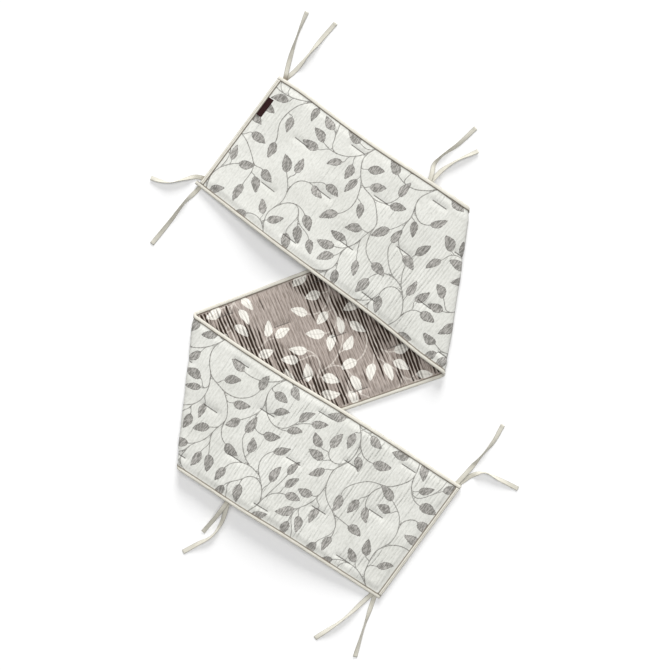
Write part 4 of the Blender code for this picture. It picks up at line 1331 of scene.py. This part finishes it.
def buildTapeSeams(name, side, look):
    top = tapes["slot"] + tapes["wall"] - tapes["seamDepth"] * 0.7
    ends, ups = [], []
    # along the strip, then across it: the tape's face, where lines start, their way's length, the other's
    for order, face, start, way, other in (
            (1, tapes["face"], 0.006, length, width),
            (-1, tapes["endFace"], tapes["face"] + 0.002, width, length)):
        inset = face - tapes["seamIn"]
        count = int((way - 2 * start) / threads["seamGap"])
        middle = start + (np.arange(count) + 0.5) * threads["seamGap"]
        both = np.stack([middle - threads["seamStitch"] / 2, middle + threads["seamStitch"] / 2], axis=1)
        for line in (inset, other - inset):
            ends.append(onStrip(*(both, np.full(both.shape, line))[::order], side * top))
            ups.append(normalsAt(*(middle, np.full(middle.shape, line))[::order], side))
    place(stitchMesh(name, np.vstack(ends), threads["seamRadius"], np.vstack(ups), look), "tape")


tackMaterial = stitchLook("tackThreadLook", threads["tackColour"])
seamMaterial = stitchLook("seamThreadLook", threads["seamColour"])
buildTacks("whiteTacks", 1, tackMaterial)
buildTacks("taupeTacks", -1, tackMaterial)
buildTapeSeams("whiteSideSeams", 1, seamMaterial)
buildTapeSeams("taupeSideSeams", -1, seamMaterial)
print("threads made")

# the sewn label, left bare

label = {
    "length": 0.046, "width": 0.0135, "thickness": 0.0006, "fromEnd": 0.0096, "fromEdge": 0.052,
    "clearance": 0.0003,        # over the cloth's own height
    "lift": 0.0002,             # and over the level it is smoothed to
    "puff": 0.00025,
    "seamIn": 0.0012, "seamStart": 0.002, "seamGap": 0.0026, "seamStitch": 0.0018, "seamCount": 17,
    "seamRadius": 0.00022, "seamLift": 0.00002,
    "colour": linear(44, 8, 9), "shade": linear(30, 5, 6), "threadColour": linear(52, 20, 22),
}


def buildLabel():
    look = Look("labelLook", roughness=0.7, sheen=0.0, specular=0.2)
    flatPlace, _, across = look.flat()
    satin = look.noise(look.stretch(flatPlace, 0.12, 1.0), 1800.0, 1.0)
    lines = look.sine(across * (math.tau / 0.0007))
    look.colour(look.mix(label["colour"], label["shade"], look.ramp(satin, 0.3, 0.7)))
    look.rough(look.ramp(satin, 0.3, 0.7, 0.6, 0.8))
    look.bump(lines * 0.5 + satin * 0.5, 0.3, 0.0002)
    t = np.linspace(label["fromEdge"], label["fromEdge"] + label["length"], 47)
    share = np.array([0.0, 0.02, 0.1, 0.3, 0.5, 0.7, 0.9, 0.98, 1.0])
    s = label["fromEnd"] + label["width"] * share
    tt, ss = np.meshgrid(t, s, indexing="ij")
    foot = clothHeight(ss, tt, 1, np.full(ss.shape, 0.0)) + label["clearance"]
    foot = (foot + foot.mean()) / 2 + label["lift"]
    puff = label["puff"] * softNoise(ss, tt, 0.012, 0.016, 81)
    bulge = np.array([0.25, 0.85, 1.0, 1.0, 1.0, 1.0, 1.0, 0.85, 0.25])[None]
    middle = foot + label["thickness"] / 2 + puff
    upper = onStrip(ss, tt, middle + bulge * label["thickness"] / 2)
    lower = onStrip(ss, tt, middle - bulge * label["thickness"] / 2)
    rings = np.concatenate([upper, lower[:, ::-1]], axis=1)
    across = np.concatenate([s, 2 * s[-1] - s[::-1]])
    piece = sweep("sewnLabel", rings, look.material, across, t)
    place(piece, "label", "label")
    ends, ups = [], []
    for line in (label["seamIn"], label["width"] - label["seamIn"]):
        middles = label["fromEdge"] + label["seamStart"] + np.arange(label["seamCount"]) * label["seamGap"]
        both = np.stack([middles - label["seamStitch"] / 2, middles + label["seamStitch"] / 2], axis=1)
        where = np.full(both.shape, label["fromEnd"] + line)
        level = np.interp(both, t, (middle + label["thickness"] / 2)[:, 4])
        ends.append(onStrip(where, both, level + label["seamLift"]))
        ups.append(normalsAt(where[:, 0], middles, 1))
    sewn = stitchMesh("labelStitches", np.vstack(ends), label["seamRadius"], np.vstack(ups),
                      stitchLook("labelThreadLook", label["threadColour"]))
    place(sewn, "label")


buildLabel()
print("label made")

# floor, light and camera

studio = {
    "floor": (0.93, 0.93, 0.93, 1.0),
    "world": (1.0, 1.0, 1.0, 1.0),
    "worldStrength": 0.22,
    # each light: where it comes from, degrees across (for soft shadows) and strength
    "lights": {"above": ((0.03, 0.10, 1.0), 45.0, 1.70), "low": ((0.12, 1.0, 0.40), 28.0, 3.20)},
    "lens": 100.0,
    "span": 1.5075,             # metres across the picture at the floor
    "aim": (0.0009, -0.0016),
}
floorMesh = bpy.data.meshes.new("floor")
reach, level = 6.0, -0.0003
floorMesh.from_pydata([(-reach, -reach, level), (reach, -reach, level), (reach, reach, level),
                       (-reach, reach, level)], [], [(0, 1, 2, 3)])
floor = bpy.data.objects.new("floor", floorMesh)
bpy.context.scene.collection.objects.link(floor)
floorLook = Look("floorLook", roughness=0.9, specular=0.1)
floorLook.colour(studio["floor"])
floorMesh.materials.append(floorLook.material)

world = bpy.data.worlds.new("studio")
world.use_nodes = True
world.node_tree.nodes["Background"].inputs["Color"].default_value = studio["world"]
world.node_tree.nodes["Background"].inputs["Strength"].default_value = studio["worldStrength"]
bpy.context.scene.world = world
for name, (comesFrom, spread, strength) in studio["lights"].items():
    lightData = bpy.data.lights.new(name, "SUN")
    lightData.energy = strength
    lightData.angle = math.radians(spread)
    light = bpy.data.objects.new(name, lightData)
    light.rotation_euler = (-Vector(comesFrom)).to_track_quat("-Z", "Y").to_euler()
    light.location = comesFrom
    bpy.context.scene.collection.objects.link(light)

cameraData = bpy.data.cameras.new("camera")
cameraData.lens = studio["lens"]
cameraData.sensor_width = 36.0
camera = bpy.data.objects.new("camera", cameraData)
camera.location = (*studio["aim"], studio["span"] * studio["lens"] / cameraData.sensor_width)
cameraData.clip_end = 50.0
bpy.context.scene.collection.objects.link(camera)
bpy.context.scene.camera = camera
bpy.context.scene.view_settings.view_transform = "Standard"
print("floor, light and camera set")
